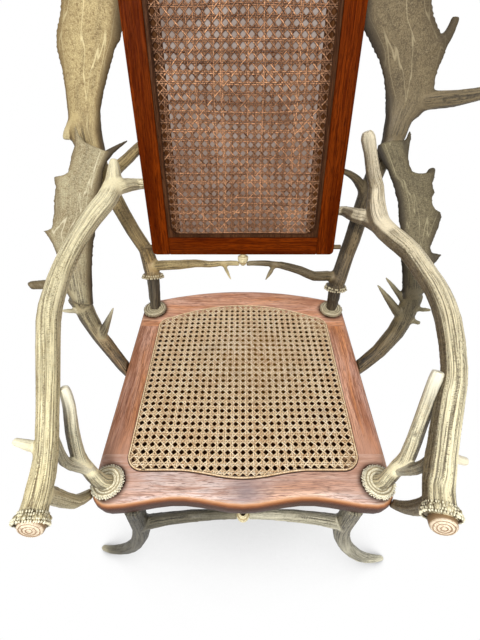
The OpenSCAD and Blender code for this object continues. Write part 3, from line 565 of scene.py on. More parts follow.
weave_above, binder_above, groove_above = 1.2, 2.3, 0.35
seat_finish = cane_finish("seat_cane", (255, 233, 192), (188, 142, 90), (120, 82, 42), (255, 244, 222))
seat_weave = weave("seat_weave", 13.5, -188.0, (-204, -224), (204, 204), in_seat, sway, (1.15, 1.3))
seat_weave.transform(Matrix.Translation(at(0, 0, seat_top + weave_above)))
new_piece("seat_weave", seat_weave, "seat_cane", seat_finish, "seat_cane")

# A dark card inside the seat frame is painted shade: it stands for the shaded ground seen through the seat's
# cane, and is darker towards its edges. It is part of the stage and not of the chair.
shade_card_finish, tree = fresh_material("painted_shade_card")
near_rear = add(tree, "Mapping", {"Vector": place_on(tree), "Location": (0.036, -0.03, 0),
                                  "Scale": (5.5, 6.5, 0)})
pool = add(tree, "TexGradient", {"Vector": near_rear.outputs[0]}, gradient_type="QUADRATIC_SPHERE")
dark_to_pale = ramp(pool.outputs["Fac"], (0.0, (56, 28, 6)), (0.5, (136, 92, 40)))
show(tree, add(tree, "BsdfDiffuse", {"Color": dark_to_pale, "Roughness": 0.5}))
card_w, card_d, card_z = 0.4, 0.423, 412
stage_plane("painted_shade_card", shade_card_finish, card_w, card_d, at(0, -11.5, card_z))

# Binder: one flat strand of cane that hides the holes round the seat's panel.
# It is laced down through the holes. A dark groove, worn into the wood, runs round outside it.


def outline_of_seat(grow):
    """The panel's outline, moved outward by grow, from its front left corner round to the right."""
    straight, r = cane_x - cane_corner, cane_corner + grow
    xs = np.linspace(-straight, straight, 61)
    front = [(x, seat_front(x) - grow) for x in xs]
    rear = [(x, seat_rear(x) + grow) for x in xs[::-1]]
    low, high = front[0][1] + r, rear[0][1] - r
    angles = np.radians(np.linspace(0, 90, 13))[1:-1]

    def corner(x, y, start):
        return [(x + r * math.cos(start + a), y + r * math.sin(start + a)) for a in angles]

    return (front + corner(straight, low, -quarter) + corner(straight, high, 0)
            + rear + corner(-straight, high, quarter) + corner(-straight, low, math.pi))


def edging(name, grow, z, wide, thick):
    ring = [(x, y, z) for x, y in outline_of_seat(grow)]
    mesh = ribbons(name, [ring + ring[:2]], wide, thick)
    mesh.transform(Matrix.Translation(at(0, 0, 0)))
    return mesh


groove_finish, tree = fresh_material("seat_groove")
surfaced(tree, ramp(noise(place_on(tree), 90, 3), (0.35, (39, 22, 13)), (0.7, (75, 45, 31))), 0.8)
binder = edging("seat_binder", 3.2, seat_top + binder_above, 1.7, 0.8)
new_piece("seat_binder", binder, "seat_cane", seat_finish, "seat_cane_binder")
groove = edging("seat_groove", 5.4, seat_top + groove_above, 0.9, 0.35)
new_piece("seat_groove", groove, "seat_wood", groove_finish)

# Back frame: four oak boards, darker and glossier than the seat, with softened edges.
# Its plane leans back; x runs across it, y up the slope and z out of its front face.
recline = math.radians(16)
back_foot = (0, 205, 590)
slope = Matrix.Translation(at(*back_foot)) @ Matrix.Rotation(quarter - recline, 4, "X")
upright = (recline - quarter, 0, -quarter)
for name, turn, shift in (("stile_left", upright, (0.1, 0.2, 0)), ("stile_right", upright, (0.5, 0.8, 0)),
                          ("rail_top", (0, 0, 0), (0.3, 0, 0)), ("rail_bottom", (0, 0, 0), (0.9, 0.4, 0))):
    finish = oak(f"back_oak_{name}", turn, (114, 44, 2), (74, 22, 0), (130, 60, 12), 0.25, 0.02, shift)
    board(f"back_{name}_board", f"back_{name}", "back_wood", finish, 0.0022)
# The beading is a darker oak than the frame: painted shade along the frame's inner edge.
shaded_beading_oak = oak("shaded_beading_oak", upright, (88, 54, 32), (50, 28, 14), (104, 68, 44), 0.45, 0.03)
finish_node(shaded_beading_oak, "back_beading")

# Back panel: darker, redder cane than the seat's over a dull mauve cloth on a thin board.
# The cloth is stretched over the board, and sprigs hold the board in the frame's rebate.
panel_x, panel_low, panel_high = 162, 38, 602
cane_behind, cloth_behind = 9.4, 10.6


def in_panel(x, y, grow=4.0):
    return (np.abs(x) < panel_x + grow) & (y > panel_low - grow) & (y < panel_high + grow)


def slack(x, y):
    return 1.1 * np.sin(y / 39) * np.sin(x / 45), 1.4 * np.sin(x / 41 + 1) * np.sin(y / 57)


# Beyond 138 mm from the middle, the back's strands take painted shade along the stiles.
back_finish = cane_finish("back_cane", (166, 120, 88), (66, 34, 17), (26, 12, 4), (246, 184, 136), 0.1, 0.138)
back_weave = weave("back_weave", 14.9, 53.0, (-168, 30), (168, 610), in_panel, slack, (1.1, 1.25))
back_weave.transform(slope @ Matrix.Translation((0, 0, -mm(cane_behind))))
new_piece("back_weave", back_weave, "back_cane", back_finish, "back_cane")

lining_finish, tree = fresh_material("lining_cloth")
place = place_on(tree)
threads = noise(place, 900, 2)
height = add(tree, "SeparateXYZ", {0: place}).outputs["Z"]
# The cloth is paler towards the top.
colour = layered((112, 92, 78), (ramp(height, (0.62, 0.35), (0.95, 1.0)),
                                 ramp(noise(place, 9), (0.35, 0.2), (0.7, 1.0)), (176, 164, 156)),
                 (threads, 0.35, (80, 63, 60)))
surfaced(tree, colour, 0.9, 0.1, (threads, 0.4, 0.0004), **{"Sheen Weight": 0.1})
cloth_w, cloth_h, ripple = 0.272, 0.576, 0.00035
bm = flat_grid(cloth_w, cloth_h, 30, 50)
for v in bm.verts:
    v.co.z = ripple * math.sin(v.co.x * 40) * math.sin(v.co.y * 31)
cloth = mesh_of(bm, "back_cloth")
cloth.transform(slope @ Matrix.Translation((0, mm((panel_low + panel_high) / 2), -mm(cloth_behind))))
cloth_piece = new_piece("back_cloth", cloth, "lining", lining_finish)
finish_node(oak("lining_board", upright, (96, 60, 34), (58, 32, 14), (110, 78, 52), 0.4), "back_lining")

# Antlers: bone that grew in long ridges, beaded near the burr, velvety on the palms and pale at the points.
# Each CAD antler is gridded finely and smoothed. Every spot of its skin then gets a place along and
# round the beam, tine or palm that it lies on, and grooves and fine lines are cut and coloured by it.


def gridded(node, cell):
    name = node + "_grid"
    holder = placed(name, mesh_of(merged_copy(node), name))
    grid = holder.modifiers.new("grid", "REMESH")
    grid.mode = "VOXEL"
    grid.voxel_size = cell
    mesh = mesh_from(holder)
    mesh.materials.clear()
    return mesh


def read_points(source, field):
    out = np.empty(len(source) * 3, np.float32)
    source.foreach_get(field, out)
    return out.reshape(-1, 3).astype(np.float64)


def set_points(mesh, x):
    mesh.vertices.foreach_set("co", x.astype(np.float32).ravel())
    mesh.update()


def neighbours(mesh):
    """For each point, its neighbours over edges and across faces, filled up with the point itself."""
    corners = np.empty(len(mesh.loops), np.int32)
    mesh.loops.foreach_get("vertex_index", corners)
    quads = corners.reshape(-1, 4)
    pairs = np.concatenate([quads[:, [a, b]] for a, b in ((0, 1), (1, 2), (2, 3), (3, 0), (0, 2), (1, 3))])
    pairs = np.unique(np.concatenate([pairs, pairs[:, ::-1]]), axis=0)
    n = len(mesh.vertices)
    first = np.searchsorted(pairs[:, 0], np.arange(n))
    rank = np.arange(len(pairs)) - first[pairs[:, 0]]
    table = np.repeat(np.arange(n)[:, None], rank.max() + 1, axis=1)
    table[pairs[:, 0], rank] = pairs[:, 1]
    return table, np.bincount(pairs[:, 0], minlength=n)


def averaged(values, table, counts, rounds=1):
    shape = (-1,) + (1,) * (values.ndim - 1)
    spare = (table.shape[1] - counts).reshape(shape)
    for _ in range(rounds):
        values = (values[table].sum(1) - spare * values) / counts.reshape(shape)
    return values


def unit(v):
    v = np.asarray(v, float)
    return v / (np.linalg.norm(v, axis=-1, keepdims=True) + 1e-9)


def soft_step(values, low, high):
    t = np.clip((values - low) / (high - low), 0, 1)
    return t * t * (3 - 2 * t)


def fuzz(places, seed):
    """Smooth noise between 0 and 1 at places in space, with one wave about each unit."""
    table = np.random.RandomState(seed).rand(32, 32, 32)
    corner = np.floor(places).astype(int)
    part = places - corner
    part = part * part * (3 - 2 * part)
    total = np.zeros(len(places))
    for step in np.ndindex(2, 2, 2):
        share = np.prod(np.where(step, part, 1 - part), axis=1)
        total += share * table[tuple(((corner + step) % 32).T)]
    return total


def near(anchor, *points):
    """Points [x, y, z, half width, half thickness] given from an anchor, as full rows."""
    return [[p[0] + anchor[0], p[1] + anchor[1], p[2] + anchor[2], p[3], p[-1]] for p in points]


lean, half_back = (math.sin(recline), math.cos(recline)), 200


def beside(*points):
    """Points beside the back frame: x out from its stile, s up the slope and d behind its front face."""
    _, y, z = back_foot
    return [[half_back + x, y + s * lean[0] + d * lean[1], z + s * lean[1] - d * lean[0], r[0], r[-1]]
            for x, s, d, *r in points]


def smooth_line(points, steps=8):
    p = np.array(points, float)
    t = np.linspace(0, 1, steps, endpoint=False)[:, None]
    parts = []
    for i in range(len(p) - 1):
        a, b, c, d = p[max(i - 1, 0)], p[i], p[i + 1], p[min(i + 2, len(p) - 1)]
        parts.append(0.5 * (2 * b + (c - a) * t + (2 * a - 5 * b + 4 * c - d) * t ** 2
                            + (3 * b - a - 3 * c + d) * t ** 3))
    return np.concatenate(parts + [p[-1:]])


def on_limb(x, points, facing):
    """How far outside a limb the spots x lie, where they lie round and along it, how far from its end,
    and how long the limb is."""
    p = smooth_line(points)
    centre, radius = p[:, :3], p[:, 3:].mean(1)
    ahead = unit(np.gradient(centre, axis=0))
    facing = np.asarray(facing, float)
    face = unit(facing - (ahead @ facing)[:, None] * ahead)
    wide = np.cross(ahead, face)
    run = np.concatenate([[0], np.cumsum(np.linalg.norm(np.diff(centre, axis=0), axis=1))])
    spot = ((centre ** 2).sum(1)[None] - 2 * x @ centre.T).argmin(1)
    off = x - centre[spot]
    forth = (off * ahead[spot]).sum(1)
    off = off - forth[:, None] * ahead[spot]
    across = np.linalg.norm(off, axis=1)
    over = np.where(spot == 0, np.maximum(-forth, 0), np.where(spot == len(p) - 1, np.maximum(forth, 0), 0))
    girth = radius.max()
    turned = np.stack([(off * wide[spot]).sum(1), (off * face[spot]).sum(1)], 1) / (across[:, None] + 1e-6)
    place = np.column_stack([turned * girth, run[spot] + forth])
    return np.hypot(across, over) - radius[spot], place, run[-1] - run[spot] - forth, run[-1]


def on_palm(x, plane, rows):
    """The same for a palm, whose lines spread out as it widens."""
    up = unit(np.subtract(plane[1], plane[0]))
    facing = np.asarray(plane[2], float)
    face = unit(facing - (facing @ up) * up)
    wide = np.cross(up, face)
    off = x - np.asarray(plane[0], float)
    rise, out, depth = off @ up, off @ wide, off @ face
    rows = np.array(rows, float)
    inner, outer, thick = (np.interp(rise, rows[:, 0], rows[:, k]) for k in (1, 2, 3))
    share = (out - (inner + outer) / 2) / ((outer - inner) / 2)
    over = np.maximum(np.maximum(rows[0, 0] - rise, rise - rows[-1, 0]), 0)
    place = np.column_stack([share * 30, depth * 0.5 + 60 * np.sign(depth), rise])
    return (np.hypot(share, depth / thick) - 1) * thick + over - 1.0, place, rise - rows[0, 0], share


def antler(name, node, slot, material, side, limbs, palm=None, cell=1.8, depth=0.9, pitch=3.0, run=70.0,
           smooth=36, seed=1, dark=(-0.7, 0.1, -0.7), wide=0.0, lumps=0.0, sawn=None):
    """A finished antler in place of its CAD node.

    side is 1 or -1. limbs are lines of points for the right-hand side, each with the way it faces, 1 where it
    ends in a point, and how brown it is. dark is the way towards the side that takes painted shade and brown
    stain, and wide says how far round the limb that darkening comes. sawn is a point and a way at which it is
    cut flat."""
    tip_reach, crook_width, seam_width, groove_width, sawn_reach = 30, 12, 6, 0.048, 60
    mesh = gridded(node, mm(cell * (1)))
    table, counts = neighbours(mesh)
    x = read_points(mesh.vertices, "co")
    # Each round smooths the skin, then swells it by as much, so that the limbs keep their girth
    for _ in range(smooth // (1)):
        x = x + 0.5 * (averaged(x, table, counts) - x)
        x = x - 0.52 * (averaged(x, table, counts) - x)
    set_points(mesh, x)
    normal = read_points(mesh.vertex_normals, "vector")
    spots = (x * 1000 - np.array(seat_middle)) * (side, 1, 1)
    best, second = np.full((2, len(x)), 1e9)
    place = np.zeros((len(x), 3))
    tip, grown, brown, on_plate, edge = np.zeros((5, len(x)))

    def nearest(outside, here, start):
        """The spots to which this limb is nearer than those before it. The next best is kept too."""
        chosen = outside < best
        second[:] = np.where(chosen, best, np.minimum(second, outside))
        best[chosen] = outside[chosen]
        place[chosen] = here[chosen] + (0, 0, start)
        return chosen

    for k, (points, facing, pointed, *browned) in enumerate(limbs):
        outside, here, left, whole = on_limb(spots, points, facing)
        chosen = nearest(outside, here, 500 * k)
        tip[chosen] = np.exp(-(np.maximum(left[chosen], 0) / tip_reach) ** 2) * pointed
        grown[chosen] = 1 - left[chosen] / whole if k == 0 else 0.75
        brown[chosen] = sum(browned)
    if palm:
        outside, here, rise, share = on_palm(spots, *palm)
        chosen = nearest(outside, here, 5000)
        grown[chosen], tip[chosen] = 1, 0
        on_plate = np.where(chosen, soft_step(rise, 20, 130), 0)
        # The palm's edges take painted shade, stronger on its inner side.
        edge = np.where(chosen, soft_step(np.abs(share), 0.4, 1.05) * np.where(share < 0, 1.0, 0.6), 0)
    # Where two limbs meet, the crook is filled out a little
    crook = 1 - soft_step(second - best, 0, crook_width)
    for _ in range(16):
        x = x + 0.6 * crook[:, None] * (averaged(x, table, counts) - x)
    finer = fuzz(place / (pitch * 0.45, pitch * 0.45, run * 0.5), seed + 50)
    ridges = fuzz(place / (pitch, pitch, run), seed) * 0.75 + finer * 0.25
    groove = np.exp(-((ridges - 0.46) / groove_width) ** 2)
    lined = np.clip(1 - 0.88 * on_plate, 0, 1) * soft_step(second - best, 0.5, seam_width)
    smoothness = np.clip(lined - 0.9 * tip, 0, 1)
    sink = mm(depth) * (groove + 0.5 * (0.5 - finer)) * smoothness
    if lumps:
        sink -= mm(lumps) * fuzz(spots / 3.6, seed + 7) * np.exp(-grown / 0.12)
    # Spots in hollows and crooks take painted shade.
    bay = ((averaged(x, table, counts, 8) - x) * normal).sum(1)
    hollow_shade = np.clip(bay / (2.2 * bay.std()), 0, 1)
    x = x - normal * sink[:, None]
    if sawn:
        at_cut, way = sawn[0], unit(sawn[1])
        near_cut = np.linalg.norm(spots - at_cut, axis=1) < sawn_reach
        past = np.maximum((spots - at_cut) @ way, 0) * near_cut
        x = x - mm(1) * past[:, None] * way * (side, 1, 1)
    set_points(mesh, np.clip(x, cad_box[0], cad_box[1]))
    # Spots turned the way dark take painted shade and brown stain, as far round as wide says; brown limbs
    # take it whole.
    shaded = np.maximum(soft_step((normal * (side, 1, 1)) @ unit(dark) + wide, -0.1, 0.7), brown)
    for label, values in (("groove", groove * smoothness), ("tip", tip), ("grown", np.clip(grown, 0, 1)),
                          ("palm", on_plate), ("rim", edge), ("shaded", shaded), ("hollow_shade", hollow_shade),
                          ("lined", lined)):
        mark(mesh, label, values)
    mark(mesh, "grain", averaged(place, table, counts, 3), "FLOAT_VECTOR", "vector")
    new_piece(name, mesh, slot, material, node)


horn, (place, ridge, groove, stain, upper, shade, pale, cut, mottle) = new_group(
    "horn_surface", ["Ridge", "Groove", "Stain", "Upper", "Shade", "Tip"], ["Cut", "Mottle"])
grooves, tips, grown, palms, rim_shades, shaded, hollow_shades, lines = (
    read(horn, label) for label in ("groove", "tip", "grown", "palm", "rim", "shaded", "hollow_shade", "lined"))
skin = read(horn, "grain", "Vector")
clouds = noise(place, 13, 4, 0.6, 0.5)
freckles = noise(place, 150, 5, 0.75)
dust = noise(place, 480, 3, 0.8)
hairs = noise(skin, (0.42, 0.42, 0.011), 4, 0.65)
threads = noise(skin, (1.3, 1.3, 0.03), 2)
veins = noise(skin, (0.11, 0.11, 0.009), 3, 0.6)
thin = maths("ABSOLUTE", maths("SUBTRACT", noise(skin, (0.07, 0.07, 0.004), 2, 0.5), 0.5))
lined = times(times(scaled(grown, -0.3, 1.0), cut), lines)
colour = layered(ridge, (ramp(grown, (0.2, 0.0), (0.8, 1.0)), 1.0, upper),
                 # The side marked shaded takes the Shade colour: painted shade and brown stain.
                 (ramp(clouds, (0.42, 0.0), (0.64, 1.0)), mottle, stain), (shaded, 0.85, shade),
                 (ramp(hairs, (0.4, 1.0), (0.52, 0.0)), lined, groove),
                 (ramp(threads, (0.38, 0.5), (0.5, 0.0)), lined, groove),
                 (ramp(grooves, (0.3, 0.0), (0.9, 1.0)), lined, groove),
                 (ramp(freckles, (0.48, 0.0), (0.62, 0.8)), scaled(palms, 0.7, 0.25), stain),
                 (ramp(dust, (0.38, 0.5), (0.5, 0.0)), scaled(palms, 0.45, 0.3), groove),
                 (ramp(dust, (0.52, 0.0), (0.66, 0.6)), scaled(palms, 0.6, 0.3), pale),
                 (ramp(veins, (0.3, 0.3), (0.49, 0.0)), palms, groove),
                 # Hollows take painted shade in the groove colour.
                 (ramp(thin, (0.003, 0.75), (0.012, 0.0)), palms, pale), (hollow_shades, 0.25, groove),
                 # Palm edges take painted shade.
                 (ramp(rim_shades, (0.05, 0.0), (0.6, 0.7)), 1.0, stain),
                 (ramp(rim_shades, (0.3, 0.0), (0.95, 0.85)), 1.0, groove), (tips, 0.85, pale))
put_out(horn, colour, scaled(tips, -0.2, scaled(palms, 0.2, 0.5)),
        scaled(ramp(hairs, (0.36, 0.0), (0.52, 1.0)), lines, scaled(dust, 0.4, times(freckles, 0.3))))


def horn_finish(name, ridge, groove, stain, upper, shade, pale, cut, mottle):
    material, tree = fresh_material(name)
    skin = grouped(tree, horn, place_on(tree), (ridge, groove, stain, upper, shade, pale), [cut, mottle])
    surfaced(tree, skin["Color"], skin["Roughness"], 0.35, (skin["Height"], 0.7, 0.0006))
    return material


# Pearls and turned faces: the burrs at the antlers' roots, the discs and the buttons.
# Pearls are small domes set round a ring. A turned face is a profile spun round its axis.


def ring_of_pearls(name, slot, material, side, centre, axis, seed, *rows):
    """rows are (radius, height, count, size outward, size round, size upward), in millimetres."""
    ball = bmesh.new()
    bmesh.ops.create_icosphere(ball, subdivisions=2, radius=1)
    dome = np.array([v.co for v in ball.verts])
    faces = np.array([[v.index for v in f.verts] for f in ball.faces])
    ball.free()
    random = np.random.RandomState(seed)
    axis = unit(axis)
    out = unit(np.cross(axis, (0.13, 0.21, 0.97) if abs(axis[2]) < 0.9 else (1, 0, 0)))
    round_it = np.cross(axis, out)
    spots, corners, crest = [], [], []
    for radius, height, count, *sizes in rows:
        for k in range(count):
            turn = 2 * math.pi * (k + random.uniform(-0.25, 0.25)) / count
            away = math.cos(turn) * out + math.sin(turn) * round_it
            along = np.cross(axis, away)
            size = np.array(sizes) * random.uniform(0.75, 1.2, 3)
            local = dome * size
            base = np.asarray(centre) + away * (radius + random.uniform(-0.5, 0.5)) + axis * height
            corners.append(faces + len(dome) * len(spots))
            spots.append(base + local[:, :1] * away + local[:, 1:2] * along + local[:, 2:] * axis)
            crest.append(dome[:, 0] * 0.5 + 0.5 + random.uniform(-0.15, 0.15))
    spots = np.concatenate(spots) * (side, 1, 1)
    corners = np.concatenate(corners)
    mesh = bpy.data.meshes.new(name)
    mesh.from_pydata([tuple(v) for v in (spots + np.array(seat_middle)) / 1000], [],
                     [tuple(f) for f in (corners[:, ::side] if side < 0 else corners)])
    mark(mesh, "crest", np.concatenate(crest))
    new_piece(name, mesh, slot, material)


def turned(name, slot, material, side, centre, axis, profile, *replaced, steps=64):
    """A profile of (radius, height) in millimetres spun round an axis."""
    bm = bmesh.new()
    spots = [bm.verts.new((mm(r), 0, mm(h))) for r, h in profile]
    edges = [bm.edges.new(pair) for pair in zip(spots, spots[1:])]
    bmesh.ops.spin(bm, geom=spots + edges, cent=(0, 0, 0), axis=(0, 0, 1), angle=2 * math.pi, steps=steps,
                   use_merge=True)
    bmesh.ops.remove_doubles(bm, verts=bm.verts, dist=1e-6)
    bmesh.ops.recalc_face_normals(bm, faces=bm.faces)
    layer = bm.verts.layers.float.new("radius")
    for v in bm.verts:
        v[layer] = math.hypot(v.co.x, v.co.y) * 1000
    mesh = mesh_of(bm, name)
    mirror = Vector((side, 1, 1))
    turn = (Vector(axis) * mirror).to_track_quat("Z", "Y").to_matrix().to_4x4()
    mesh.transform(Matrix.Translation(at(*(Vector(centre) * mirror))) @ turn)
    new_piece(name, mesh, slot, material, *replaced, sharp=50)


def pearl_finish(name, pale, deep):
    material, tree = fresh_material(name)
    colour = layered(deep, (ramp(read(tree, "crest"), (0.25, 0.0), (0.75, 1.0)), 1.0, pale),
                     (ramp(noise(place_on(tree), 300, 3), (0.5, 0.0), (0.7, 0.5)), 1.0, deep))
    surfaced(tree, colour, 0.5, 0.35)
    return material


def sawn_finish(name, pale, deep, waves, stain, rim=100.0):
    """Sawn or turned horn, with growth rings round its middle, and brown painted shade beyond its rim, as on
    the neck behind an arm's face.
    """
    material, tree = fresh_material(name)
    place, radius = place_on(tree), read(tree, "radius")
    rings = maths("SINE", times(scaled(noise(place, 60, 3), 2.5, radius), waves))
    # Beyond the rim the horn takes brown painted shade.
    outer = add(tree, "MapRange", {"Value": radius, "From Min": rim - 1.5, "From Max": rim}).outputs[0]
    colour = layered(pale, (ramp(rings, (0.15, 0.0), (0.75, 1.0)), 1.0, deep),
                     (ramp(noise(place, 420, 3), (0.46, 0.0), (0.66, 0.7)), 1.0, stain),
                     (outer, 0.85, (140, 112, 78)))
    surfaced(tree, colour, 0.5, 0.35, (rings, 0.6, 0.0005))
    return material


# Arms: the largest and palest antlers, each with its sawn root and its crown of pearls to the front.
# Each lies on its support. One branch of it meets the back's stile, and one runs down to the seat's corner.
FRONT, REAR, MIDDLE = (252, -224.5, seat_top), (252, 183.5, seat_top), (252, 0, seat_top)
INWARD, FORWARD, UPWARD = (-1, 0, 0), (0, -1, 0), (0, 0, 1)
arm_right = [
    (near(FRONT, (-8, -90, 112, 13), (-4, -76, 113, 19), (0, -57, 115, 20), (8, -31, 122, 20),
          (16, 7, 155, 19), (32, 52, 182, 18), (42, 85, 203, 17), (54, 156, 225, 18), (57, 211, 233, 18))
     + near(REAR, (52, -164, 238, 18), (42, -103, 244, 19), (25, -66, 248, 20), (8, -26, 254, 20),
            (3, 8, 276, 18), (1, 26, 302, 15), (-12, 29, 330, 13), (-24, 33, 362, 12), (-33, 37, 384, 13),
            (-37, 39, 394, 8)),
     INWARD, 0.35),
    (near(REAR, (18, -50, 250, 19), (6, -18, 251, 19), (-8, 4, 250, 17), (-26, 16, 248, 15))
     + beside((14, 92, 12, 11), (-6, 92, 12, 9)), UPWARD, 0),
    (near(FRONT, (4, -48, 114, 15), (5, -54, 84, 13), (2, -47, 34, 12), (-4, -33, -6, 9), (-12, -22, -22, 7)),
     FORWARD, 0, 0.8),
    (near(FRONT, (22, -10, 138, 10), (36, -14, 132, 7), (48, -16, 130, 6)), UPWARD, 1)]
arm_left = [
    (near(FRONT, (10, -98, 110, 11), (11, -84, 111, 17), (12, -64, 114, 17), (10, -50, 122, 17),
          (1, -17, 155, 15), (3, 21, 182, 14), (10, 62, 203, 15), (35, 151, 228, 17), (42, 197, 237, 17))
     + near(REAR, (45, -158, 246, 17), (40, -100, 258, 17), (23, -47, 276, 18), (2, -6, 292, 19),
            (-5, 30, 304, 18), (-7, 42, 320, 14), (-9, 50, 334, 10), (-10, 54, 343, 6)), INWARD, 0.35),
    (near(REAR, (4, 12, 298, 18), (-18, 34, 300, 15)) + beside((18, 145, 14, 12), (-6, 146, 14, 10)),
     UPWARD, 0),
    (near(FRONT, (9, -50, 112, 14), (9, -45, 80, 12), (2, -38, 32, 11), (2, -16, -10, 9), (-6, -6, -22, 7)),
     FORWARD, 0, 0.5),
    (near(FRONT, (6, -10, 158, 10), (22, -8, 162, 8), (43, -4, 166, 5)), UPWARD, 1)]
arm_horn_left = horn_finish("horn_arm_left", (242, 230, 184), (78, 56, 22), (194, 172, 116), (238, 228, 190),
                            (172, 150, 104), (246, 238, 206), 0.75, 0.2)
arm_horn_right = horn_finish("horn_arm_right", (244, 233, 192), (58, 42, 18), (190, 168, 120),
                             (232, 218, 188), (64, 46, 20), (240, 230, 202), 0.85, 0.2)
arm_pearls = pearl_finish("arm_pearls", (246, 238, 206), (66, 52, 32))
end_profile = [(14, -12), (17, -8), (16.6, -2), (16.2, 1), (15.4, 2)]
end_profile += [(r, 2.6 + 1.6 * (1 - (r / 16) ** 2) + 0.3 * math.sin(r * 1.5))
                for r in np.linspace(14.8, 0.01, 34)]
for side, name, limbs, finish, dark, shift in (
        (-1, "left", arm_left, arm_horn_left, (0.9, 0, -0.4), (-3, 5, 4)),
        (1, "right", arm_right, arm_horn_right, (-0.8, 0.1, -0.5), (2, 0, 0))):
    end, root = (np.array(point[:3], float) for point in limbs[0][0][:2])
    way, girth = unit(end - root), limbs[0][0][1][3]
    antler(f"arm_{name}_horn", f"arm_{name}", "antler_pale", finish, side, limbs, cell=1.6, depth=0.85,
           seed=3 + side, pitch=2.5, run=170, lumps=0.5, dark=dark, sawn=(root + way * 2, way))
    ring_of_pearls(f"arm_{name}_crown", "antler_pale", arm_pearls, side, root, way, 20 + side,
                   (girth + 3.8, 1.5, 44, 2.5, 1.2, 2.0), (girth + 3.4, -2, 42, 2.3, 1.2, 2.1),
                   (girth + 2.0, -6, 40, 1.9, 1.2, 2.3), (girth + 0.6, -10, 30, 1.5, 1.2, 2.2))
    face = sawn_finish(f"arm_end_{name}", (240, 220, 190), (146, 116, 88), 1.5, (150, 124, 96), 16.2)
    turned(f"arm_{name}_end", "antler_pale", face, side, end - way * 3 + shift, way + (0, 0, 0.4),
           end_profile)

# Arm supports: a forked pale tine from each front disc up to the arm, darker towards its foot.
# Its root is let into the disc, and both ends of its fork meet the arm.
support_right = [
    (near(FRONT, (-29, 0, 4, 12), (-26, -6, 28, 12), (-14, 4, 58, 12), (-5, 10, 80, 12), (4, 36, 128, 11),
          (11, 56, 164, 11), (15, 72, 194, 10), (17, 78, 204, 8)), INWARD, 1),
    (near(FRONT, (-17, 2, 52, 10), (-6, -6, 74, 9), (4, -10, 100, 9), (12, -4, 132, 8), (14, 10, 150, 7)),
     INWARD, 0, 0.75)]
support_left = [
    (near(FRONT, (-29, 0, 4, 12), (-24, -6, 28, 12), (-13, 2, 58, 11), (-6, 10, 84, 11), (-7, 28, 128, 10),
          (-9, 47, 163, 9), (-8, 57, 184, 8), (-7, 60, 192, 6)), INWARD, 1),
    (near(FRONT, (-17, 2, 52, 10), (-6, -2, 76, 9), (3, -4, 100, 8), (6, 6, 128, 7), (6, 14, 150, 6)),
     INWARD, 0, 0.3)]
support_horn = horn_finish("horn_supports", (254, 244, 202), (48, 32, 12), (196, 168, 116), (252, 245, 214),
                           (48, 32, 12), (253, 247, 222), 0.75, 0.2)
for side, name, lines in ((-1, "left", support_left), (1, "right", support_right)):
    antler(f"arm_support_{name}_horn", f"arm_support_{name}", "antler_pale", support_horn, side, lines,
           cell=1.3, depth=0.7, pitch=2.4, run=90, smooth=30, seed=5 + side, dark=(0.75, -0.5, -0.45),
           wide=0.2)

# Posts: browner antlers that carry the back and spread into palms beside it.
# Each stands on a stub over the seat's rear disc, and a branch of it is let into the back's stile.
foot_left, foot_right, under_back = (217, 220.5, 513), (219, 190.5, 503), (0, back_foot[1], seat_top)
post_right = [
    (near(foot_right, (0, 0, 0, 17), (3, 6, 20, 20), (13, 25, 52, 19))
     + beside((40, -8, 31, 19), (46, 25, 28, 19), (51, 60, 27, 19), (60, 122, 27, 19), (76, 176, 34, 20),
              (92, 204, 38, 21), (97, 216, 40, 20)), FORWARD, 0),
    (beside((58, 120, 26, 14), (44, 142, 24, 11), (26, 158, 20, 8), (8, 167, 17, 6), (-6, 171, 16, 5)),
     FORWARD, 0),
    (near(foot_right, (-4, 8, 26, 14), (-20, 12, 30, 13), (-58, -4, 42, 12))
     + near(under_back, (130, -12, 116, 11), (86, 0, 122, 9), (45, 2, 126, 7), (8, 4, 124, 6)), FORWARD, 0.5),
    (near(under_back, (72, 1, 124, 7), (62, -6, 104, 5), (52, -12, 88, 2)), FORWARD, 1),
    (beside((142, 288, 40, 14), (174, 291, 40, 14), (202, 293, 40, 13), (229, 297, 40, 12),
            (252, 301, 40, 11), (286, 306, 40, 4)), FORWARD, 0.4)]
post_left = [
    (near(foot_left, (0, 0, 0, 17), (2, 10, 20, 20), (6, 20, 40, 19))
     + beside((25, 2, 35, 17), (45, 46, 30, 17), (60, 84, 28, 17), (74, 120, 28, 18), (88, 155, 31, 20),
              (100, 182, 36, 22), (106, 198, 40, 23)), FORWARD, 0),
    (beside((84, 150, 28, 13), (54, 174, 24, 12), (28, 192, 20, 11), (6, 209, 17, 10), (-6, 216, 16, 10)),
     FORWARD, 0),
    (near(foot_left, (-4, 8, 26, 14), (-20, 6, 32, 13), (-70, -10, 46, 12))
     + near(under_back, (108, 4, 124, 10), (76, 3, 122, 8), (43, 2, 126, 7), (8, 4, 124, 6)), FORWARD, 0.5),
    (near(under_back, (44, 1, 125, 6), (36, -5, 106, 4), (28, -11, 88, 2)), FORWARD, 1),
    (beside((118, 262, 40, 14), (138, 244, 40, 10), (148, 232, 40, 9), (150, 224, 40, 8)), FORWARD, 0.7)]
post_plane = (beside((0, 0, 40, 1))[0][:3], beside((0, 1, 40, 1))[0][:3], FORWARD)
post_right_rows = [(204, 72, 112, 17), (256, 75, 130, 14), (290, 68, 160, 10), (365, 30, 163, 7),
                   (405, 1, 133, 7), (462, -12, 114, 7), (500, -12, 132, 7), (562, 6, 126, 6),
                   (652, 90, 114, 3)]
post_left_rows = [(188, 77, 130, 17), (241, 77, 143, 15), (290, 65, 135, 10), (336, 42, 131, 7),
                  (380, 13, 130, 7), (432, 0, 108, 7), (496, -4, 122, 7), (572, 18, 118, 6), (630, 66, 98, 3)]
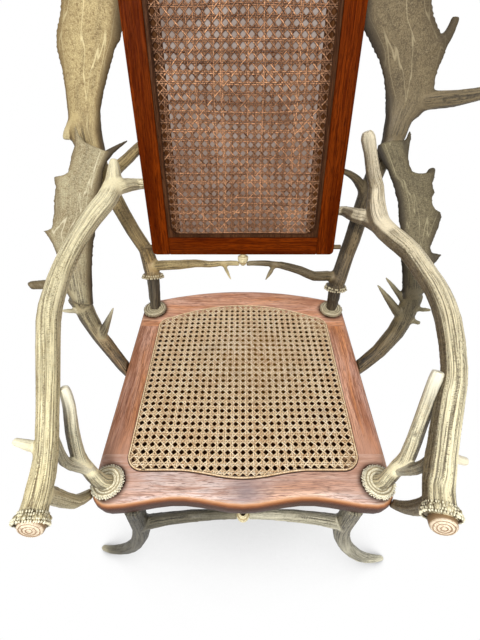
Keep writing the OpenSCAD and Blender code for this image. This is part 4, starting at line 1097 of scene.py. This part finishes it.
post_horn_left = horn_finish("horn_post_left", (170, 144, 98), (54, 38, 16), (126, 102, 62), (184, 163, 114),
                             (66, 48, 24), (222, 206, 158), 0.9, 0.45)
post_horn_right = horn_finish("horn_post_right", (132, 112, 80), (26, 18, 8), (78, 64, 42), (124, 108, 78),
                              (38, 28, 16), (160, 146, 114), 0.9, 0.45)
antler("post_left_horn", "post_antler_left", "antler_brown", post_horn_left, -1, post_left,
       (post_plane, post_left_rows), cell=2.1, depth=0.7, run=110, seed=6, dark=(0.9, 0.3, -0.3), wide=0.1)
antler("post_right_horn", "post_antler_right", "antler_brown", post_horn_right, 1, post_right,
       (post_plane, post_right_rows), cell=2.1, depth=0.7, run=110, seed=7, dark=(-0.9, 0.3, -0.3), wide=0.15)

# The posts' burrs are ragged collars, and the stubs below them are nearly black and deeply ribbed.
# A stub is a short length of antler, let into the disc at its foot.
collar_pearls = pearl_finish("collar_pearls", (196, 184, 152), (66, 52, 36))
for side, name, foot, axis in ((-1, "left", foot_left, (0, 0.46, 0.89)),
                               (1, "right", foot_right, (0.02, 0.3, 0.95))):
    ring_of_pearls(f"post_{name}_crown", "antler_brown", collar_pearls, side, foot, axis, 30 + side,
                   (24, 2, 28, 3.0, 2.2, 2.6), (22, 7, 24, 2.6, 2.2, 2.8))
stub_horn = horn_finish("horn_stubs", (104, 92, 70), (22, 18, 14), (56, 46, 34), (96, 84, 64), (30, 24, 18),
                        (84, 72, 56), 1.0, 0.6)
stub_left = (0, 0, 0, 12), (-1, 9.5, 20, 14), (-2, 26.5, 52, 15), (-2, 37, 73, 16), (-2, 42.5, 84, 16)
stub_right = (0, 0, 0, 12), (0, 0.5, 16, 14), (0, 0.5, 40, 15), (0, 7, 63, 16), (0, 10.5, 74, 16)
for side, name, points in ((-1, "left", stub_left), (1, "right", stub_right)):
    antler(f"stub_{name}_horn", f"post_stub_{name}", "antler_dark", stub_horn, side,
           [(near(disc_places["rear"], *points), FORWARD, 0)], cell=1.1, depth=1.8, pitch=3.4, smooth=12,
           seed=10 + side, dark=(0, 0.9, -0.3))

# Side antlers: grey-brown palms outside the arms, with thin dark edges of painted shade and sharp points.
# Each is sawn off at its root and fixed against the side of the seat frame.
side_right = [
    (near(MIDDLE, (-10, 16, -24, 15), (14, 30, -17, 15), (46, 46, 8, 16), (76, 66, 48, 18), (89, 80, 82, 19),
          (94, 92, 112, 19), (95, 98, 130, 19)), FORWARD, 0),
    (near(MIDDLE, (82, 78, 80, 12), (50, 91, 116, 8), (18, 102, 150, 2)), FORWARD, 1),
    (near(MIDDLE, (84, 90, 110, 9), (58, 102, 138, 6), (33, 110, 162, 2)), FORWARD, 1),
    (near(MIDDLE, (90, 76, 80, 10), (112, 58, 84, 4)), FORWARD, 1),
    (near(MIDDLE, (92, 86, 100, 9), (122, 62, 118, 3)), FORWARD, 1)]
side_left = [
    (near(MIDDLE, (-10, 8, -24, 14), (12, 25, -15, 14), (36, 46, 9, 15), (55, 58, 48, 16), (68, 70, 90, 18),
          (76, 82, 118, 19), (80, 84, 136, 19)), FORWARD, 0),
    (near(MIDDLE, (48, 56, 50, 12), (28, 60, 84, 7), (6, 65, 122, 2)), FORWARD, 1),
    (near(MIDDLE, (74, 76, 102, 9), (98, 48, 130, 3)), FORWARD, 1)]
palm_face = (-0.25, -0.6, 0.75)
side_right_palm = (((346, 112, 594), (284, 268, 791), palm_face),
                   [(-30, -30, 16, 17), (20, -21, 38, 10), (57, -17, 40, 7), (118, -10, 68, 7),
                    (157, -6, 64, 7), (193, -9, 68, 6), (206, -11, 31, 6), (272, -22, 20, 4)])
side_left_palm = (((326, 100, 604), (289, 260, 790), palm_face),
                  [(-45, -34, 6, 17), (4, -27, 30, 12), (83, -23, 69, 7), (119, -24, 55, 7),
                   (187, -26, 60, 6), (216, -26, 36, 6), (251, -36, 31, 5), (284, 30, 33, 3)])
side_horn_left = horn_finish("horn_side_left", (164, 130, 88), (36, 23, 10), (132, 112, 76), (176, 165, 130),
                             (40, 27, 12), (218, 208, 176), 1.0, 0.45)
side_horn_right = horn_finish("horn_side_right", (118, 97, 62), (22, 14, 6), (70, 59, 38), (112, 101, 74),
                              (34, 24, 12), (156, 146, 114), 1.0, 0.45)
antler("side_left_horn", "side_antler_left", "antler_brown", side_horn_left, -1, side_left, side_left_palm,
       cell=1.9, depth=0.7, run=110, seed=8, dark=(0.95, 0.1, -0.3), wide=0.25)
antler("side_right_horn", "side_antler_right", "antler_brown", side_horn_right, 1, side_right,
       side_right_palm, cell=1.9, depth=0.7, run=110, seed=9, dark=(0.3, 0.4, -0.85), wide=0.2)

# Legs: dark grey-brown antlers that stand on one tine each, with pale points.
# Their roots are let into the seat's corners from below, and their other tines meet at a button between.
front_y, rear_y, leg_x, under_seat = -248.5, 219.5, 252, 395


def leg_line(y, *points):
    """Points [x, y, height as a share of the seat's underside, half width]."""
    return [[leg_x + p[0], y + p[1], under_seat * p[2], p[3], p[3]] for p in points]


leg_lines = {
    "front_right": leg_line(front_y, (-62, 4, 1.04, 19), (-60, 1, 0.86, 18), (-54, -2, 0.63, 18),
                            (-30, -10, 0.4, 16), (20, -18, 0.18, 13), (66, -16, 0.05, 10),
                            (98, -12, 0.002, 6)),
    "front_left": leg_line(front_y, (-66, 4, 1.04, 19), (-58, 0, 0.83, 18), (-48, -2, 0.63, 18),
                           (-22, -6, 0.41, 16), (22, -4, 0.19, 13), (74, 2, 0.055, 10), (106, 10, 0.002, 6)),
    "rear_right": leg_line(rear_y, (-70, -16, 1.04, 19), (-66, -12, 0.84, 18), (-58, -2, 0.62, 18),
                           (-38, 20, 0.4, 16), (0, 56, 0.18, 13), (36, 86, 0.05, 10), (58, 104, 0.002, 6))}
leg_lines["rear_left"] = leg_lines["rear_right"]
braces = {
    "front": leg_line(front_y, (-64, 0, 0.74, 15), (-112, -2, 0.83, 12), (-162, -2, 0.88, 11),
                      (-207, 0, 0.88, 9), (-244, 0, 0.865, 7)),
    "rear": leg_line(rear_y, (-68, -10, 0.74, 15), (-112, -6, 0.82, 12), (-162, -2, 0.87, 11),
                     (-207, 0, 0.88, 9), (-244, 0, 0.865, 7))}
leg_dark = horn_finish("horn_legs_dark", (88, 82, 66), (26, 22, 16), (64, 58, 46), (104, 98, 80),
                       (36, 30, 22), (190, 180, 148), 1.0, 0.5)
leg_pale = horn_finish("horn_leg_pale", (140, 132, 110), (52, 46, 34), (120, 112, 90), (214, 207, 180),
                       (70, 62, 46), (226, 220, 192), 1.0, 0.4)
for name, line in leg_lines.items():
    end, hand = name.split("_")
    finish = leg_pale if name == "front_right" else leg_dark
    antler(f"leg_{name}_horn", f"leg_{name}", "antler_brown", finish, -1 if hand == "left" else 1,
           [(line, FORWARD, 1), (braces[end], FORWARD, 0.4)], cell=1.9, depth=0.8, run=110, seed=11,
           dark=(-0.2, 0.4, -0.9))

# Discs: slices of burr with a ring of pearls round the rim and growth rings on the hollowed top.
# A screw from under the seat holds each of them on its board.
disc_profile = [(24, 0), (25.6, 1.4), (25.2, 6.0), (23.2, 8.2), (21, 9)]
disc_profile += [(21 - k * 0.5, 8.6 - 1.0 * min(1, k / 8) + 0.25 * math.sin((21 - k * 0.5) * 1.2))
                 for k in range(1, 38)]
disc_looks = {
    "front": (sawn_finish("disc_faces", (240, 232, 202), (168, 152, 116), 1.2, (160, 144, 110)),
              pearl_finish("disc_pearls", (240, 234, 208), (56, 43, 26))),
    "rear": (sawn_finish("dark_disc_faces", (206, 194, 160), (124, 106, 78), 1.2, (100, 84, 60)),
             pearl_finish("dark_disc_pearls", (164, 150, 122), (56, 46, 32)))}
for side, hand in ((-1, "left"), (1, "right")):
    for end, (faces, pearls) in disc_looks.items():
        name, place = f"disc_{end}_{hand}", disc_places[end]
        turned(name + "_slice", "antler_pale", faces, side, place, UPWARD, disc_profile, name)
        ring_of_pearls(name + "_pearls", "antler_pale", pearls, side, place, UPWARD, 40 + side,
                       (25.0, 5.0, 40, 2.5, 1.35, 2.7), (25.4, 2.6, 38, 2.4, 1.35, 2.2))

# Buttons: small acorns turned from pale horn, with a dark neck.
# One hangs under the back frame, and one between each pair of legs, where their inner tines meet.
acorn = sawn_finish("acorn_horn", (226, 214, 172), (182, 160, 116), 1.3, (140, 116, 80))
acorn_profile = [(5, 0), (6.6, 0.4), (6.8, 3), (6.2, 4.4), (7.2, 5.6), (11.2, 7.6), (12, 9.6), (11.9, 13),
                 (11.3, 17), (9.8, 21.5), (7.6, 25.2), (5.0, 28), (2.6, 29.6), (0.01, 30.1)]
legs_meet = 356.7
for name, place, axis in (("back", beside((-half_back, 0, 12.5, 1))[0][:3], (0, -lean[0], -lean[1])),
                          ("front", (0, front_y, legs_meet), (0, 0, -1)),
                          ("rear", (0, rear_y, legs_meet), (0, 0, -1))):
    turned(f"{name}_button_acorn", "antler_pale", acorn, 1, place, axis, acorn_profile, f"{name}_button",
           steps=40)

# Pegs of grey-brown wood between the posts and the back, and the steel screws and sprigs.
# The pegs are glued, the screws hold the discs and the sprigs hold the lining.
finish_node(oak("peg_wood", (0, 0, 0), (140, 122, 92), (84, 68, 48), (160, 144, 114), 0.5), "back_pegs")
steel, tree = fresh_material("old_steel")
mottled = ramp(noise(place_on(tree), 160), (0.3, (90, 86, 80)), (0.7, (154, 150, 144)))
surfaced(tree, mottled, 0.45, Metallic=1.0)
finish_node(steel, "disc_screws", "lining_sprigs")
